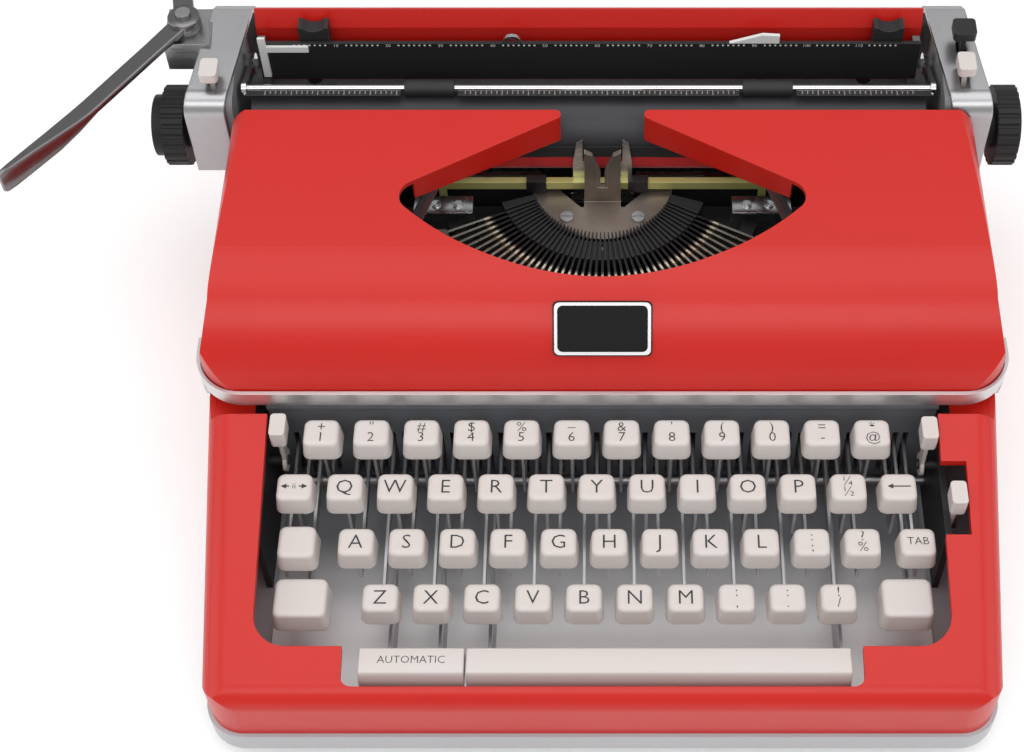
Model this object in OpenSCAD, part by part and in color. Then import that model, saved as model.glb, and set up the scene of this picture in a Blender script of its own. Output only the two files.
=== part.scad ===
// Portable manual typewriter: red case, white keys, moving carriage with a black platen.
// Millimetres. X runs right, Y runs to the rear, Z runs up; the feet stand on Z = 0.

/* [Case] */
// Width of the base pan
body_w = 307; // [302:1:314]
// Depth of the base pan
body_d = 280; // [277:1:290]
// Wall of the lower shell
shell_t = 3; // [2:0.25:3.5]
// Wall of the ribbon cover
cover_t = 2; // [1.5:0.25:2.25]
// Height of the bright strip under the cover front
trim_h = 7; // [5:0.5:8]

/* [Keyboard] */
// Pitch of the character keys
key_pitch = 19.05; // [18.6:0.05:19.2]
// Width of a character key cap at its foot
cap_w = 15; // [13:0.1:15.6]
// Height of a key cap
cap_h = 9; // [7:0.25:9.5]
// Thickness of the key levers
lever_t = 1.2; // [0.8:0.1:1.4]
// Radius of the rod that carries the key levers
fulcrum_r = 2.5; // [2:0.25:3]

/* [Type basket] */
// Width of the slots in the segment
slot_w = 1.1; // [1.05:0.05:1.25]
// Radius of the ribbon spool flanges
spool_r = 20; // [17:0.5:22]
// Radius of the bell
bell_r = 18; // [14:0.5:19]

/* [Carriage] */
// Half length over the end covers
carriage_half = 160.5; // [158:0.5:163]
// Radius of the platen roller
platen_r = 16; // [15:0.25:16.25]
// Radius of the platen knobs
knob_r = 16.4; // [14:0.2:16.4]
// Reach of the return lever from its stud to its tip
return_reach = 103; // [90:1:112]

/* [Hidden] */
$fn = 48;
// Running clearance of turning and sliding fits
run_gap = 0.05;
// Length past every piece, for cutting bodies
past = 400;

// Case levels
body_rear = 138;
body_front = body_rear - body_d;
foot_h = 6;
foot_r = 11;
foot_well_r = 5;
foot_well_h = 3;
foot_edge = 1;
foot_x = 122;
foot_y = [body_front + 24, body_rear - 26];
screw_r = 1.8;
screw_hole_r = 2;
screw_head_r = 4;
screw_head_h = 2;
screw_short = 0.2;
pan_h = 10;
pan_t = 2;
pan_wall = 3;
pan_top = foot_h + pan_h;
pan_floor = foot_h + pan_t;
corner_r = 15;
front_in = 6;

// Lower shell
shell_in = 1.5;
shell_front = body_front + shell_in;
nose_r = 9;
deck_front_z = 44;
deck_rear_y = -32.5;
deck_rear_z = 68;
rim_z = 63.5;
deck_angle = atan2(deck_rear_z - deck_front_z, deck_rear_y - shell_front - nose_r);
deck_edge_r = 10;
well_x = 128;
well_front = body_front + 22;
well_corner_r = 12;
well_floor_z = pan_top + 2;
bar_well_x = 95;
bar_well_front = body_front + 7.5;
bar_well_corner_r = 4;
notch_x = 137.5;
notch_half = 14;

// Ribbon cover
cover_over = 1;
cover_half = body_w / 2 + cover_over;
cover_front = -28.3;
cover_rear = 77;
cover_cy = 18;
cover_cz = 66;
cover_r = 47;
cover_slope = 0.1;
cover_lip_z = 70;
cover_side_z = 65;
cover_top_z = 122;
cover_shoulder = 7;
cover_shoulder_z = 78;
cover_edge_r = 16;
cover_corner_r = 18;
cover_past = 5;
cover_step = 2;
cover_hinge_y = -23;
cover_hinge_z = 72;
hinge_pin_r = 1.5;
hinge_boss_r = 3;
hinge_pin_end = cover_half - cover_corner_r + sqrt(pow(cover_corner_r - 0.7 * cover_t, 2)
  - pow(cover_hinge_y - cover_front - cover_corner_r, 2));
trim_t = 1.6;
trim_side_h = 3;
trim_ease = 1;
trim_return_y = -3;
eye_r = 110;
eye_cy = 111.2;
eye_tip = [82.3, 38.2];
eye_corner_r = 7;
wing_r = 2.2;
wing_end = [18.6, cover_rear - wing_r];
flange_t = 1.6;
flange_z = 105.5;
flange_in = 0.5;
flange_ease = 1.5;
eye_z = 90;
badge_w = 37;
badge_d = 20.7;
badge_t = 1.4;
badge_sunk = 1;
badge_seat = cover_r - badge_sunk;
badge_corner_r = 2;
badge_gap = 0.05;

// Chassis
plate_x = 130;
plate_t = 2.5;
deck_z = 62;
deck_t = 2;
deck_top = deck_z + deck_t;
deck_y = [-12, 74];
beam_y = 84;
beam_t = 3;
beam_z = 40;
floor_t = 1.2;
floor_top = pan_floor + floor_t;
floor_slot_w = 3;
floor_slot_l = 30;
plate_rear = body_rear - 10;
plate_nose_z = 46;
plate_step_z = 50;
ear_half = [2, 3];
ear_top = [cover_hinge_y, cover_hinge_z];
ear_foot = [deck_y[0] + 4, deck_z + 1];
ear_side = [ear_top[1] - ear_foot[1], ear_foot[0] - ear_top[0]] / norm(ear_foot - ear_top);
comb_y = -22.5;
comb_t = 3;
comb_top = 61;
comb_ridge_r = 3;

// Keyboard
row_y0 = comb_y - 17.5;
row_dy = (comb_y - body_front - 24.5) / 5;
row_z0 = 67;
row_dz = 8.5;
first_key_x = -107;
row_count = [12, 11, 11, 10];
row_shift = [0, 0.5, 0.75, 1.25];
cap_d = row_dy - 5.4;
cap_draft = 0.8;
cap_corner = 3;
stem_w = 5;
arm_h = 5;
arm_z = 27;
fulcrum_y = 66;
fulcrum_z = 34;
boss_wall = 3;
bar_rod_y = -30;
bar_rod_z = 16;
bar_rod_r = 2;
bar_boss_wall = 2.4;
bar_arm_h = 5;
bar_arm_z = 16;
bar_y = [body_front + 10, body_front + 24];
bar_top = 44;
bar_h = 8;
bar_foot = 3;
bar_edge = 3;
bar_corner_r = 1.2;
auto_x = [-89, -50.5];
space_x = [-49.7, 90.8];
lever_step = key_pitch / 4;
margin_x = first_key_x - key_pitch / 2;
backspace_x = first_key_x + 11.5 * key_pitch;
lock_x = margin_x - 4.8;
lock_cap_x = -115;
left_shift_x = margin_x + lever_step;
tab_x = backspace_x + 8;
tab_cap_x = tab_x - 1.5;
right_shift_x = backspace_x + 4;
shift_cap_w = 21.5;
shift_cap_d = row_dy - 1;
left_shift_cap_x = -113;
right_shift_cap_x = 114;
tie_y = 50;
tie_z = 20;
tie_r = 2;
comb_slot_z = [12, 42];
comb_slot_w = lever_t + 1;
side_lever_t = 1.5;
side_stud_r = 2;
side_stud_l = 8;
side_boss_r = 4.5;
side_button = [6, 10, 8];
selector_x = [-plate_x + 6.5, plate_x - 6];
selector_y = [row_y0 + 2, row_y0];
selector_z = [65, 66];
selector_stud_z = 44;
tab_set_x = plate_x + plate_t + 0.85;
tab_set_stud = [row_y0 - row_dy - 3, 36];
tab_set_button = [tab_set_stud[0] - 3, 60];
notch_y = [tab_set_button[0] - notch_half, tab_set_button[0] + notch_half];

// Type basket, centred under the print point
fan_y = 76;
fan_step = 3;
fan_count = 44;
fan_first = -22;
seg_r = [29, 43];
seg_half_angle = 72;
seg_top = 80;
slot_floor = 71;
pivot_r = 36;
pivot_z = 77;
pivot_pin_r = 1;
bar_t = slot_w - 0.1;
type_bar_h = 4;
type_reach = 39.5;
slug_w = 3;
slug_l = 6;
slug_h = 9;
slug_tilt = 20.8;
slug_gap = 3.5;
rest_w = 6;
rest_out = pivot_r + type_reach - slug_l - slug_gap;
rest_r = [rest_out - rest_w, rest_out];
guide_top = 75.5;
guide_r = seg_r[0] - 0.3;
guide_back = fan_y - 2;
guide_screw_x = 14.5;
guide_screw_y = fan_y - 18;
guide_screw_r = 2.7;
guide_screw_h = 1.6;
guide_screw_slot = [0.7, 0.8];
post_y = fan_y - 8;
post_t = 2;
post_half = 7.3;
guide_notch_x = [post_half + 0.2, 8.9, 18.4];
guide_notch_y = fan_y - 12;
post_notch = [4.2, 2];
post_vee = 8;
post_top = 105;
post_slit = 2.1;
post_slit_z = 84;
rail_y = [fan_y - 4.5, fan_y - 1.5];
rail_z = [78, 82];
rail_half = 67;
rail_leg = 3;
rail_clip_x = [-27, 14.5];
rail_clip_half = 4;
spool_x = 95;
spool_y = 25;
spool_z = [82.5, 99.2];
spool_rim_t = 1.2;
spool_post_r = 2.5;
spool_boss_r = 6;
spool_pack_r = 13;

// Carriage
carriage_x = -5.6;
platen_y = 95;
platen_z = 91;
shaft_r = 4;
end_plate_x = carriage_half - 19;
end_cover_x = carriage_half - 16;
platen_half = end_plate_x - 5.5;
ribbon_y = platen_y - platen_r - 1.35;
ribbon_t = 0.3;
ribbon_z = [84.2, 97.2];
ribbon_half = 62.5;
vibrator_t = 0.8;
vibrator_half = 12;
vibrator_z = 66;
vibrator_top = 104;
prong_in = 7;
rod_y = [104, 122];
rod_z = 57;
rod_r = 4;
truck_z = 70;
truck_t = 3.5;
truck_top = truck_z + truck_t;
truck_y = [91, 128];
truck_half = carriage_half - 14;
shoe_half = 20;
shoe_wall = 6;
seat_z = 80;
lift_pin_r = 3;
lift_pin_x = 115;
lift_pin_y = 122;
lift_boss_r = 7;
rack_module = 1.5;
rack_teeth = 52;
rack_y = [91.5, 96.5];
rack_pitch_z = 67.6;
pinion_teeth = 16;
pinion_r = rack_module * pinion_teeth / 2;
pinion_z = rack_pitch_z - pinion_r;
pinion_axle_r = 2.5;
bail_pivot_y = 118;
bail_pivot_z = 103;
bail_pin_r = 2;
bail_y = 96.7;
bail_z = platen_z + platen_r + 3.7;
bail_rod_r = 1.6;
bail_arm_x = end_plate_x - 3;
roller_r = 3.3;
roller_half = 10;
roller_x = [-64, 72];
margin_rod_y = 118;
margin_rod_z = 112;
margin_rod_r = 2;
margin_stop_x = [-111, 121];
table_half = end_plate_x - 6;
table_y = 122;
table_t = 1.5;
table_bend_z = 119.5;
table_top = 127;
table_lean = 3;
scale_y = [113, 114.5];
scale_z = [99.5, 119.5];
scale_half = end_plate_x - 8;
guide_t = 1.2;
guide_w = 3;
guide_l = 20;
guide_h = 21.5;
flap_x = [54, 77];
arch_x = -31;
arch_r = [2.4, 4];
frame_beam_y = [117, 128.5];
frame_beam_top = 90;
stud_x = -carriage_half - 2;
stud_y = 118;
stud_z = 124;
stud_r = 3;
lever_angle = atan2(-86, -56);
knob_neck = [2, 3.5];
knob_neck_r = 9;
knob_rim = 9;
knob_step = [4.5, 1];
knob_flute_r = 1.1;
knob_flute_step = 15;
end_front = platen_y - 15;
end_rear = platen_y + 36;
end_nose_r = 8;
end_nose_z = platen_z + 20;
end_top_z = platen_z + 34;
end_bevel = [4, 2];
end_wall = 2;
end_stud_z = platen_z + 13;
end_stud_r = 2;
end_stud_l = 7;
end_draw = 8.5;
end_boss_r = 4.5;
end_lever_t = 2;
end_lever_w = 5;
end_lever_in = 5;
end_lever_x = end_cover_x + end_lever_in;
end_slot_w = 4;
line_space_y = platen_y - 1;
release_y = platen_y + 0.5;
paper_release_y = platen_y + 13.5;
pad_h = 4;
cream_pad_w = 7;
cream_pad_rise = -0.5;
black_pad_w = 9;
black_pad_rise = 4;
line_space_pad = [-8, 2];
release_pad = [-6, 4];
paper_release_pad = [-4, 5];
stud_block = [8, 10, 14];
drum_x = -95;
drum_r = 20;
drum_rim = 2;
drum_gap = 1;
drum_y = body_rear - shell_in - shell_t - drum_gap - drum_r - drum_rim;
drum_axle_r = 3;
drum_boss_r = 8;
drum_z = [30, 46];
bell_x = 60;
bell_y = 112;
bell_z = 24;
bell_t = 1.5;
bell_hub = 8;
bell_hub_r = 4;
bell_post_r = 2.5;

// Shared helpers

// Rectangle with rounded corners between two corners
module rounded(x0, x1, y0, y1, r) {
  translate([x0 + r, y0]) square([x1 - x0 - 2 * r, y1 - y0]);
  translate([x0, y0 + r]) square([x1 - x0, y1 - y0 - 2 * r]);
  for (x = [x0 + r, x1 - r], y = [y0 + r, y1 - r]) translate([x, y]) circle(r);
}

// Polygon whose points always run the same way round, so that it joins its neighbours
function signed_area(p) = [for (i = [0:len(p) - 1]) cross(p[i], p[(i + 1) % len(p)])] * [for (q = p) 1];
module shape(p) polygon(signed_area(p) < 0 ? [for (i = [len(p) - 1:-1:0]) p[i]] : p);

// Flat shape drawn in Y and Z, given a thickness along X
module plate_yz(x0, x1) translate([x0, 0, 0]) rotate([90, 0, 90]) linear_extrude(x1 - x0) children();

// Flat shape drawn in X and Z, given a thickness along Y
module plate_xz(y0, y1) translate([0, y1, 0]) rotate([90, 0, 0]) linear_extrude(y1 - y0) children();

// Round bar along X
module x_rod(r, x0, x1, y, z) translate([x0, y, z]) rotate([0, 90, 0]) cylinder(r = r, h = x1 - x0);

// Box between two corners
module block(a, b) translate(a) cube(b - a);

// Everything on the carriage is drawn about the carriage centre
module on_carriage() translate([carriage_x, 0, 0]) children();

// Case

// Plan of the case: straight at the rear, narrowing from the deck's rear edge to the front
module body_outline(inset) {
  w = body_w / 2 - inset;
  r = corner_r - inset;
  y0 = body_front + inset + r;
  y1 = body_rear - inset - r;
  lean = atan2(front_in, deck_rear_y - body_front);
  side = [cos(lean), -sin(lean)];
  x = w - (r + (deck_rear_y - y0) * sin(lean)) / cos(lean);
  half = [[w - r, y1 + r], [w - r, y1], [w, y1], [w, deck_rear_y], [x, y0] + r * side, [x, y0], [x, y0 - r]];
  shape(concat(half, [for (i = [len(half) - 1:-1:0]) [-half[i][0], half[i][1]]]));
  for (s = [-1, 1]) {
    translate([s * x, y0]) circle(r);
    translate([s * (w - r), y1]) circle(r);
  }
}

module base_pan() color("silver") difference() {
  translate([0, 0, foot_h]) linear_extrude(pan_h) body_outline(0);
  translate([0, 0, pan_floor]) linear_extrude(pan_h) body_outline(pan_wall);
  for (x = [-foot_x, foot_x], y = foot_y) translate([x, y, 0]) cylinder(r = screw_hole_r, h = pan_top);
}

module rubber_feet() color("black")
  for (x = [-foot_x, foot_x], y = foot_y) translate([x, y, 0]) rotate_extrude() polygon([
    [foot_well_r, 0], [foot_r - foot_edge, 0], [foot_r, foot_edge], [foot_r, foot_h],
    [screw_hole_r, foot_h], [screw_hole_r, foot_well_h], [foot_well_r, foot_well_h]]);

module screws() color("gray") {
  for (x = [-foot_x, foot_x], y = foot_y) translate([x, y, 0]) rotate_extrude() polygon([
    [0, foot_well_h - screw_head_h], [screw_head_r, foot_well_h - screw_head_h],
    [screw_head_r, foot_well_h], [screw_r, foot_well_h], [screw_r, pan_floor - screw_short],
    [0, pan_floor - screw_short]]);
  for (s = [-1, 1]) translate([s * guide_screw_x, guide_screw_y, guide_top]) difference() {
    cylinder(r = guide_screw_r, h = guide_screw_h);
    translate([-guide_screw_r - 1, -guide_screw_slot[0] / 2, guide_screw_h - guide_screw_slot[1]])
      cube([2 * guide_screw_r + 2, guide_screw_slot[0], guide_screw_h]);
  }
}

// Side view of the lower shell, grown inwards by t
module shell_side(t) {
  y0 = shell_front + t;
  ny = shell_front + nose_r;
  nz = deck_front_z - nose_r;
  drop = t / cos(deck_angle);
  translate([ny, nz]) circle(nose_r - t);
  shape([[y0, pan_top - t], [y0, nz], [ny, nz], [ny, deck_front_z - drop],
    [deck_rear_y, deck_rear_z - drop], [deck_rear_y, rim_z], [body_rear - shell_in - t, rim_z],
    [body_rear - shell_in - t, pan_top - t]]);
}

// Strip of waste that leaves a long edge of the sloping deck rounded
module deck_round(s) {
  w = body_w / 2 - shell_in;
  lean = atan2(front_in, (deck_rear_y - body_front) / cos(deck_angle));
  translate([s * w, deck_rear_y, deck_rear_z]) rotate([deck_angle, 0, 0]) rotate([0, 0, -s * lean])
    plate_xz(-past, past) difference() {
      translate([s > 0 ? -deck_edge_r : -nose_r, -deck_edge_r])
        square([deck_edge_r + nose_r, deck_edge_r + nose_r]);
      translate([-s * deck_edge_r, -deck_edge_r]) circle(deck_edge_r);
    }
}

module body_shell() color("red") difference() {
  intersection() {
    plate_yz(-body_w, body_w) shell_side(0);
    translate([0, 0, pan_top]) linear_extrude(past) body_outline(shell_in);
  }
  for (s = [-1, 1]) deck_round(s);
  intersection() {
    plate_yz(-body_w, body_w) {
      shell_side(shell_t);
      translate([deck_rear_y + shell_t, pan_top - shell_t])
        square([body_rear - shell_in - 2 * shell_t - deck_rear_y, past]);
    }
    translate([0, 0, pan_top - shell_t]) linear_extrude(past) body_outline(shell_in + shell_t);
  }
  translate([0, 0, well_floor_z]) linear_extrude(past) {
    rounded(-well_x, well_x, well_front, comb_y + well_corner_r + comb_t, well_corner_r);
    rounded(-bar_well_x, bar_well_x, bar_well_front, comb_y, bar_well_corner_r);
    translate([0, notch_y[0]]) square([notch_x, notch_y[1] - notch_y[0]]);
  }
}

// Side view of the ribbon cover, grown inwards by t
module cover_side(t) {
  tangent = atan(cover_slope);
  ty = cover_cy - (cover_r - t) * sin(tangent);
  tz = cover_cz + (cover_r - t) * cos(tangent);
  lip_z = t > 0 ? cover_side_z - cover_past : cover_lip_z;
  side_z = t > 0 ? cover_side_z - cover_past : cover_side_z;
  rear = t > 0 ? cover_rear + cover_past : cover_rear;
  step_y = cover_hinge_y + cover_step;
  intersection() {
    union() {
      translate([cover_cy, cover_cz]) circle(cover_r - t);
      shape([[ty, tz], [rear, tz + (rear - ty) * cover_slope], [rear, 0], [ty, 0]]);
    }
    polygon([[cover_front + t, lip_z], [step_y, lip_z], [step_y, side_z],
      [rear, side_z], [rear, past], [cover_front + t, past]]);
  }
}

// Front view of the ribbon cover, grown inwards by t
module cover_face(t) {
  w = cover_half - t;
  side = w - cover_shoulder;
  flat = side - cover_edge_r;
  top = cover_top_z - t;
  round_z = top - cover_edge_r;
  shape([[-w, 0], [w, 0], [w, cover_shoulder_z], [side, round_z], [flat, round_z], [flat, top],
    [-flat, top], [-flat, round_z], [-side, round_z], [-w, cover_shoulder_z]]);
  for (s = [-1, 1]) translate([s * flat, round_z]) circle(cover_edge_r);
}

// Plan of the ribbon cover, grown inwards by t
module cover_plan(t) {
  w = cover_half - t;
  back = 2 * cover_corner_r;
  rounded(-w, w, cover_front + t, cover_rear, cover_corner_r - t);
  translate([-w, cover_rear - back]) square([2 * w, back + (t > 0 ? cover_past : 0)]);
}

module cover_solid(t) intersection() {
  plate_yz(-body_w, body_w) cover_side(t);
  plate_xz(-past, past) cover_face(t);
  linear_extrude(past) cover_plan(t);
}

// Upper edge of the eye: a line from its corner that touches the round wing end
wing_run = eye_tip - wing_end;
wing_lean = atan2(wing_run[1], wing_run[0]) + asin(wing_r / norm(wing_run));
edge_way = [cos(wing_lean), sin(wing_lean)];
edge_in = [sin(wing_lean), -cos(wing_lean)];
edge_start = wing_end + wing_r * edge_in;
eye_centre = [0, eye_cy];
corner_from = edge_start + eye_corner_r * edge_in - eye_centre;
corner_run = sqrt(pow(corner_from * edge_way, 2) - corner_from * corner_from + pow(eye_r - eye_corner_r, 2))
  - corner_from * edge_way;
corner_at = eye_centre + corner_from + corner_run * edge_way;
edge_end = corner_at - eye_corner_r * edge_in;
arc_end = eye_centre + eye_r * (corner_at - eye_centre) / norm(corner_at - eye_centre);

function mirrored(p) = [-p[0], p[1]];

// Eye-shaped opening over the type basket, open to the rear between two round wing ends
module eye() {
  intersection() {
    translate(eye_centre) circle(eye_r);
    shape([edge_start, edge_end, arc_end, [0, eye_cy - 1.5 * eye_r], mirrored(arc_end), mirrored(edge_end),
      mirrored(edge_start)]);
  }
  for (s = [-1, 1]) translate([s * corner_at[0], corner_at[1]]) circle(eye_corner_r);
  difference() {
    translate([-wing_end[0], edge_start[1] - 1])
      square([2 * wing_end[0], cover_rear + cover_past - edge_start[1]]);
    for (s = [-1, 1]) translate([s * wing_end[0], wing_end[1]]) circle(wing_r);
  }
}

// Strip turned down along the two straight upper edges of the eye
module eye_flange() {
  from = edge_start + flange_ease * edge_way;
  to = edge_end - flange_ease * edge_way;
  strip = [from + flange_in * edge_in, to + flange_in * edge_in, to - flange_t * edge_in,
    from - flange_t * edge_in];
  shape(strip);
  shape([for (q = strip) mirrored(q)]);
}

module badge_box(t, grow) {
  w = badge_w / 2 + grow;
  d = badge_d / 2 + grow;
  translate([0, cover_cy, cover_cz]) rotate([45, 0, 0]) translate([0, 0, badge_seat])
    linear_extrude(t) rounded(-w, w, -d, d, badge_corner_r);
}

module ribbon_cover() color("red") {
  difference() {
    union() {
      difference() {
        cover_solid(0);
        cover_solid(cover_t);
      }
      intersection() {
        cover_solid(cover_t / 2);
        translate([0, 0, flange_z]) linear_extrude(past) eye_flange();
      }
    }
    translate([0, 0, eye_z]) linear_extrude(past) eye();
    badge_box(4 * badge_t, badge_gap);
  }
  for (s = [-1, 1]) {
    x_rod(hinge_pin_r, s > 0 ? plate_x - 1 : -hinge_pin_end, s > 0 ? hinge_pin_end : -plate_x + 1,
      cover_hinge_y, cover_hinge_z);
  }
}

module cover_trim() color("silver") {
  translate([0, 0, cover_lip_z]) linear_extrude(trim_h) intersection() {
    trim_ring();
    translate([-past, trim_return_y - past]) square([2 * past, past]);
  }
  translate([0, 0, cover_side_z]) linear_extrude(trim_side_h) intersection() {
    trim_ring();
    translate([-past, cover_hinge_y + cover_step])
      square([2 * past, cover_rear - cover_hinge_y - cover_step]);
  }
}

module trim_ring() difference() {
  w = cover_half + trim_t;
  rounded(-w, w, cover_front - trim_t, cover_rear + 2 * cover_corner_r, cover_corner_r + trim_t);
  rounded(-cover_half, cover_half, cover_front, past, cover_corner_r - trim_ease);
}

module badge_plate() color("black") badge_box(badge_t, 0);

// Chassis

module chassis_frame() color("dimgray") {
  for (s = [-1, 1]) {
    x0 = s > 0 ? plate_x : -plate_x - plate_t;
    difference() {
      plate_yz(x0, x0 + plate_t) union() {
        shape([[plate_front, pan_floor], [plate_rear, pan_floor], [plate_rear, rim_z], [deck_y[1], rim_z],
          [deck_y[1], deck_z], [deck_y[0], deck_z], [deck_y[0] - 5, plate_step_z],
          [plate_front, plate_nose_z]]);
        shape([ear_top + ear_half[0] * ear_side, ear_top - ear_half[0] * ear_side,
          ear_foot - ear_half[1] * ear_side, ear_foot + ear_half[1] * ear_side]);
        translate([cover_hinge_y, cover_hinge_z]) circle(hinge_boss_r);
      }
      x_rod(hinge_pin_r + run_gap, -past, past, cover_hinge_y, cover_hinge_z);
    }
  }
  block([-plate_x - plate_t, deck_y[0], deck_z], [plate_x + plate_t, deck_y[1], deck_top]);
  block([-plate_x, beam_y, beam_z], [plate_x, beam_y + beam_t, rim_z]);
  translate([0, beam_y + beam_t, pinion_z]) rotate([-90, 0, 0])
    cylinder(r = pinion_axle_r, h = rack_y[1] + 0.5 - beam_y - beam_t);
  for (s = [-1, 1]) translate([s * spool_x, spool_y, 0]) {
    translate([0, 0, deck_top]) cylinder(r = spool_boss_r, h = spool_z[0] - deck_top);
    translate([0, 0, deck_top]) cylinder(r = spool_post_r, h = spool_z[1] + 1 - deck_top);
  }
  x_rod(side_stud_r, -plate_x, -plate_x + side_stud_l, selector_y[0], selector_stud_z);
  x_rod(side_stud_r, plate_x - side_stud_l, plate_x, selector_y[1], selector_stud_z);
  x_rod(side_stud_r, plate_x + plate_t, plate_x + plate_t + side_stud_l / 2,
    tab_set_stud[0], tab_set_stud[1]);
  translate([drum_x, drum_y, pan_floor]) {
    cylinder(r = drum_boss_r, h = drum_z[0] - pan_floor);
    cylinder(r = drum_axle_r, h = drum_z[1] + drum_rim - pan_floor);
  }
  translate([bell_x, bell_y, pan_floor])
    cylinder(r = bell_post_r, h = bell_z + bell_r - bell_hub - pan_floor);
}

module key_well_floor() color("white") translate([0, 0, pan_floor]) linear_extrude(floor_t) difference() {
  rounded(-well_x, well_x, body_front + 8, comb_y - 2, bar_well_corner_r);
  for (x = bar_arm_x) translate([x - floor_slot_w / 2, bar_y[1] - 1]) square([floor_slot_w, floor_slot_l]);
}

module fulcrum_rod() color("gray") {
  x_rod(fulcrum_r, -plate_x, plate_x, fulcrum_y, fulcrum_z);
  x_rod(bar_rod_r, -plate_x, plate_x, bar_rod_y, bar_rod_z);
}

module carriage_rail() color("gray") for (y = rod_y) x_rod(rod_r, -plate_x, plate_x, y, rod_z);

module bell() color("gainsboro") translate([bell_x, bell_y, bell_z]) {
  rotate_extrude() difference() {
    intersection() {
      circle(bell_r);
      square(bell_r + 1);
    }
    circle(bell_r - bell_t);
  }
  translate([0, 0, bell_r - bell_hub]) cylinder(r = bell_hub_r, h = bell_hub - bell_t / 2);
}

// Keyboard

function row_y(r) = row_y0 - r * row_dy;
plate_front = row_y(2) + 3;
function row_z(r) = row_z0 - r * row_dz;
function key_x(r, i) = first_key_x + (row_shift[r] + i) * key_pitch;
function bar_slot_x(k) = first_key_x + (k + 0.5) * lever_step;
bar_arm_x = [for (k = [5, 9, 13, 41]) bar_slot_x(k)];
lever_xs = concat(
  [for (r = [0:3], i = [0:row_count[r] - 1]) key_x(r, i)],
  [lock_x, margin_x, left_shift_x, backspace_x, right_shift_x, tab_x]);

// Key cap with sloping sides; its top face is at z
module key_cap(x, y, z, w, d, h) translate([x, y, z - h]) intersection() {
  plate_xz(-d, d) polygon([[-w / 2, 0], [w / 2, 0], [w / 2 - cap_draft, h], [-w / 2 + cap_draft, h]]);
  plate_yz(-w, w) polygon([[-d / 2, 0], [d / 2, 0], [d / 2 - cap_draft, h], [-d / 2 + cap_draft, h]]);
  linear_extrude(h) rounded(-w / 2, w / 2, -d / 2, d / 2, cap_corner);
}

// Lever from the fulcrum rod forward to the stem under a cap
module key_lever(x, y, top) plate_yz(x - lever_t / 2, x + lever_t / 2) difference() {
  union() {
    translate([fulcrum_y, fulcrum_z]) circle(fulcrum_r + boss_wall);
    shape([[fulcrum_y, fulcrum_z - 3], [fulcrum_y, fulcrum_z + 3], [y + stem_w / 2, arm_z + arm_h],
      [y + stem_w / 2, top], [y - stem_w / 2, top], [y - stem_w / 2, arm_z]]);
  }
  translate([fulcrum_y, fulcrum_z]) circle(fulcrum_r + run_gap);
}

module row_keys(r) color("ivory") for (i = [0:row_count[r] - 1])
  key_cap(key_x(r, i), row_y(r), row_z(r), cap_w, cap_d, cap_h);

module row_levers(r) color("silver") for (i = [0:row_count[r] - 1])
  key_lever(key_x(r, i), row_y(r), row_z(r) - cap_h);

module number_row_keys() row_keys(0);
module number_row_levers() row_levers(0);
module top_row_keys() row_keys(1);
module top_row_levers() row_levers(1);
module home_row_keys() row_keys(2);
module home_row_levers() row_levers(2);
module bottom_row_keys() row_keys(3);
module bottom_row_levers() row_levers(3);

// Function key: a cap and its own lever in one piece
module lone_key(x, cap_x, r, w, d, h) color("ivory") {
  key_cap(cap_x, row_y(r), row_z(r), w, d, h);
  key_lever(x, row_y(r), row_z(r) - h + 1);
}

module margin_release_key() lone_key(margin_x, margin_x, 1, cap_w, cap_d, cap_h);
module backspace_key() lone_key(backspace_x, backspace_x, 1, cap_w, cap_d, cap_h);
module shift_lock_key() lone_key(lock_x, lock_cap_x, 2, cap_w + 0.6, cap_d + 2, cap_h);
module tab_key() lone_key(tab_x, tab_cap_x, 2, cap_w, cap_d, cap_h);

// Arm that drops from a shift lever to the tie rod
module tie_arm(x) plate_yz(x - lever_t / 2, x + lever_t / 2) {
  translate([tie_y - 3, tie_z]) square([6, fulcrum_z - 1 - tie_z]);
  translate([tie_y, tie_z]) circle(tie_r + 2);
}

module left_shift_key() {
  lone_key(left_shift_x, left_shift_cap_x, 3, shift_cap_w, shift_cap_d, cap_h + 1);
  color("silver") {
    tie_arm(left_shift_x);
    x_rod(tie_r, left_shift_x, right_shift_x - lever_t / 2, tie_y, tie_z);
  }
}

module right_shift_key() {
  lone_key(right_shift_x, right_shift_cap_x, 3, shift_cap_w - 1, shift_cap_d, cap_h + 1);
  color("silver") tie_arm(right_shift_x);
}

// Flat arm from the front rod to the foot of a spacing bar
module bar_arm(x) plate_yz(x - lever_t / 2, x + lever_t / 2) difference() {
  y = (bar_y[0] + bar_y[1]) / 2;
  union() {
    translate([bar_rod_y, bar_rod_z]) circle(bar_rod_r + bar_boss_wall);
    shape([[bar_rod_y, bar_rod_z - bar_arm_h / 2], [bar_rod_y, bar_rod_z + bar_arm_h / 2],
      [row_y(2) - 2, bar_arm_z + bar_arm_h], [y + bar_foot, bar_arm_z + bar_arm_h],
      [y + bar_foot, bar_top - bar_h + 1], [y - bar_foot, bar_top - bar_h + 1], [y - bar_foot, bar_arm_z]]);
  }
  translate([bar_rod_y, bar_rod_z]) circle(bar_rod_r + run_gap);
}

// Long bar with sloping faces between two ends
module spacing_bar(x, arms) color("ivory") {
  translate([x[0], 0, 0]) intersection() {
    plate_yz(0, x[1] - x[0]) polygon([[bar_y[0], bar_top - bar_h], [bar_y[1], bar_top - bar_h],
      [bar_y[1] - 1, bar_top], [bar_y[0] + bar_edge, bar_top], [bar_y[0], bar_top - bar_edge]]);
    linear_extrude(past) rounded(0, x[1] - x[0], bar_y[0], bar_y[1], bar_corner_r);
  }
  for (a = arms) bar_arm(a);
}

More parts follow.
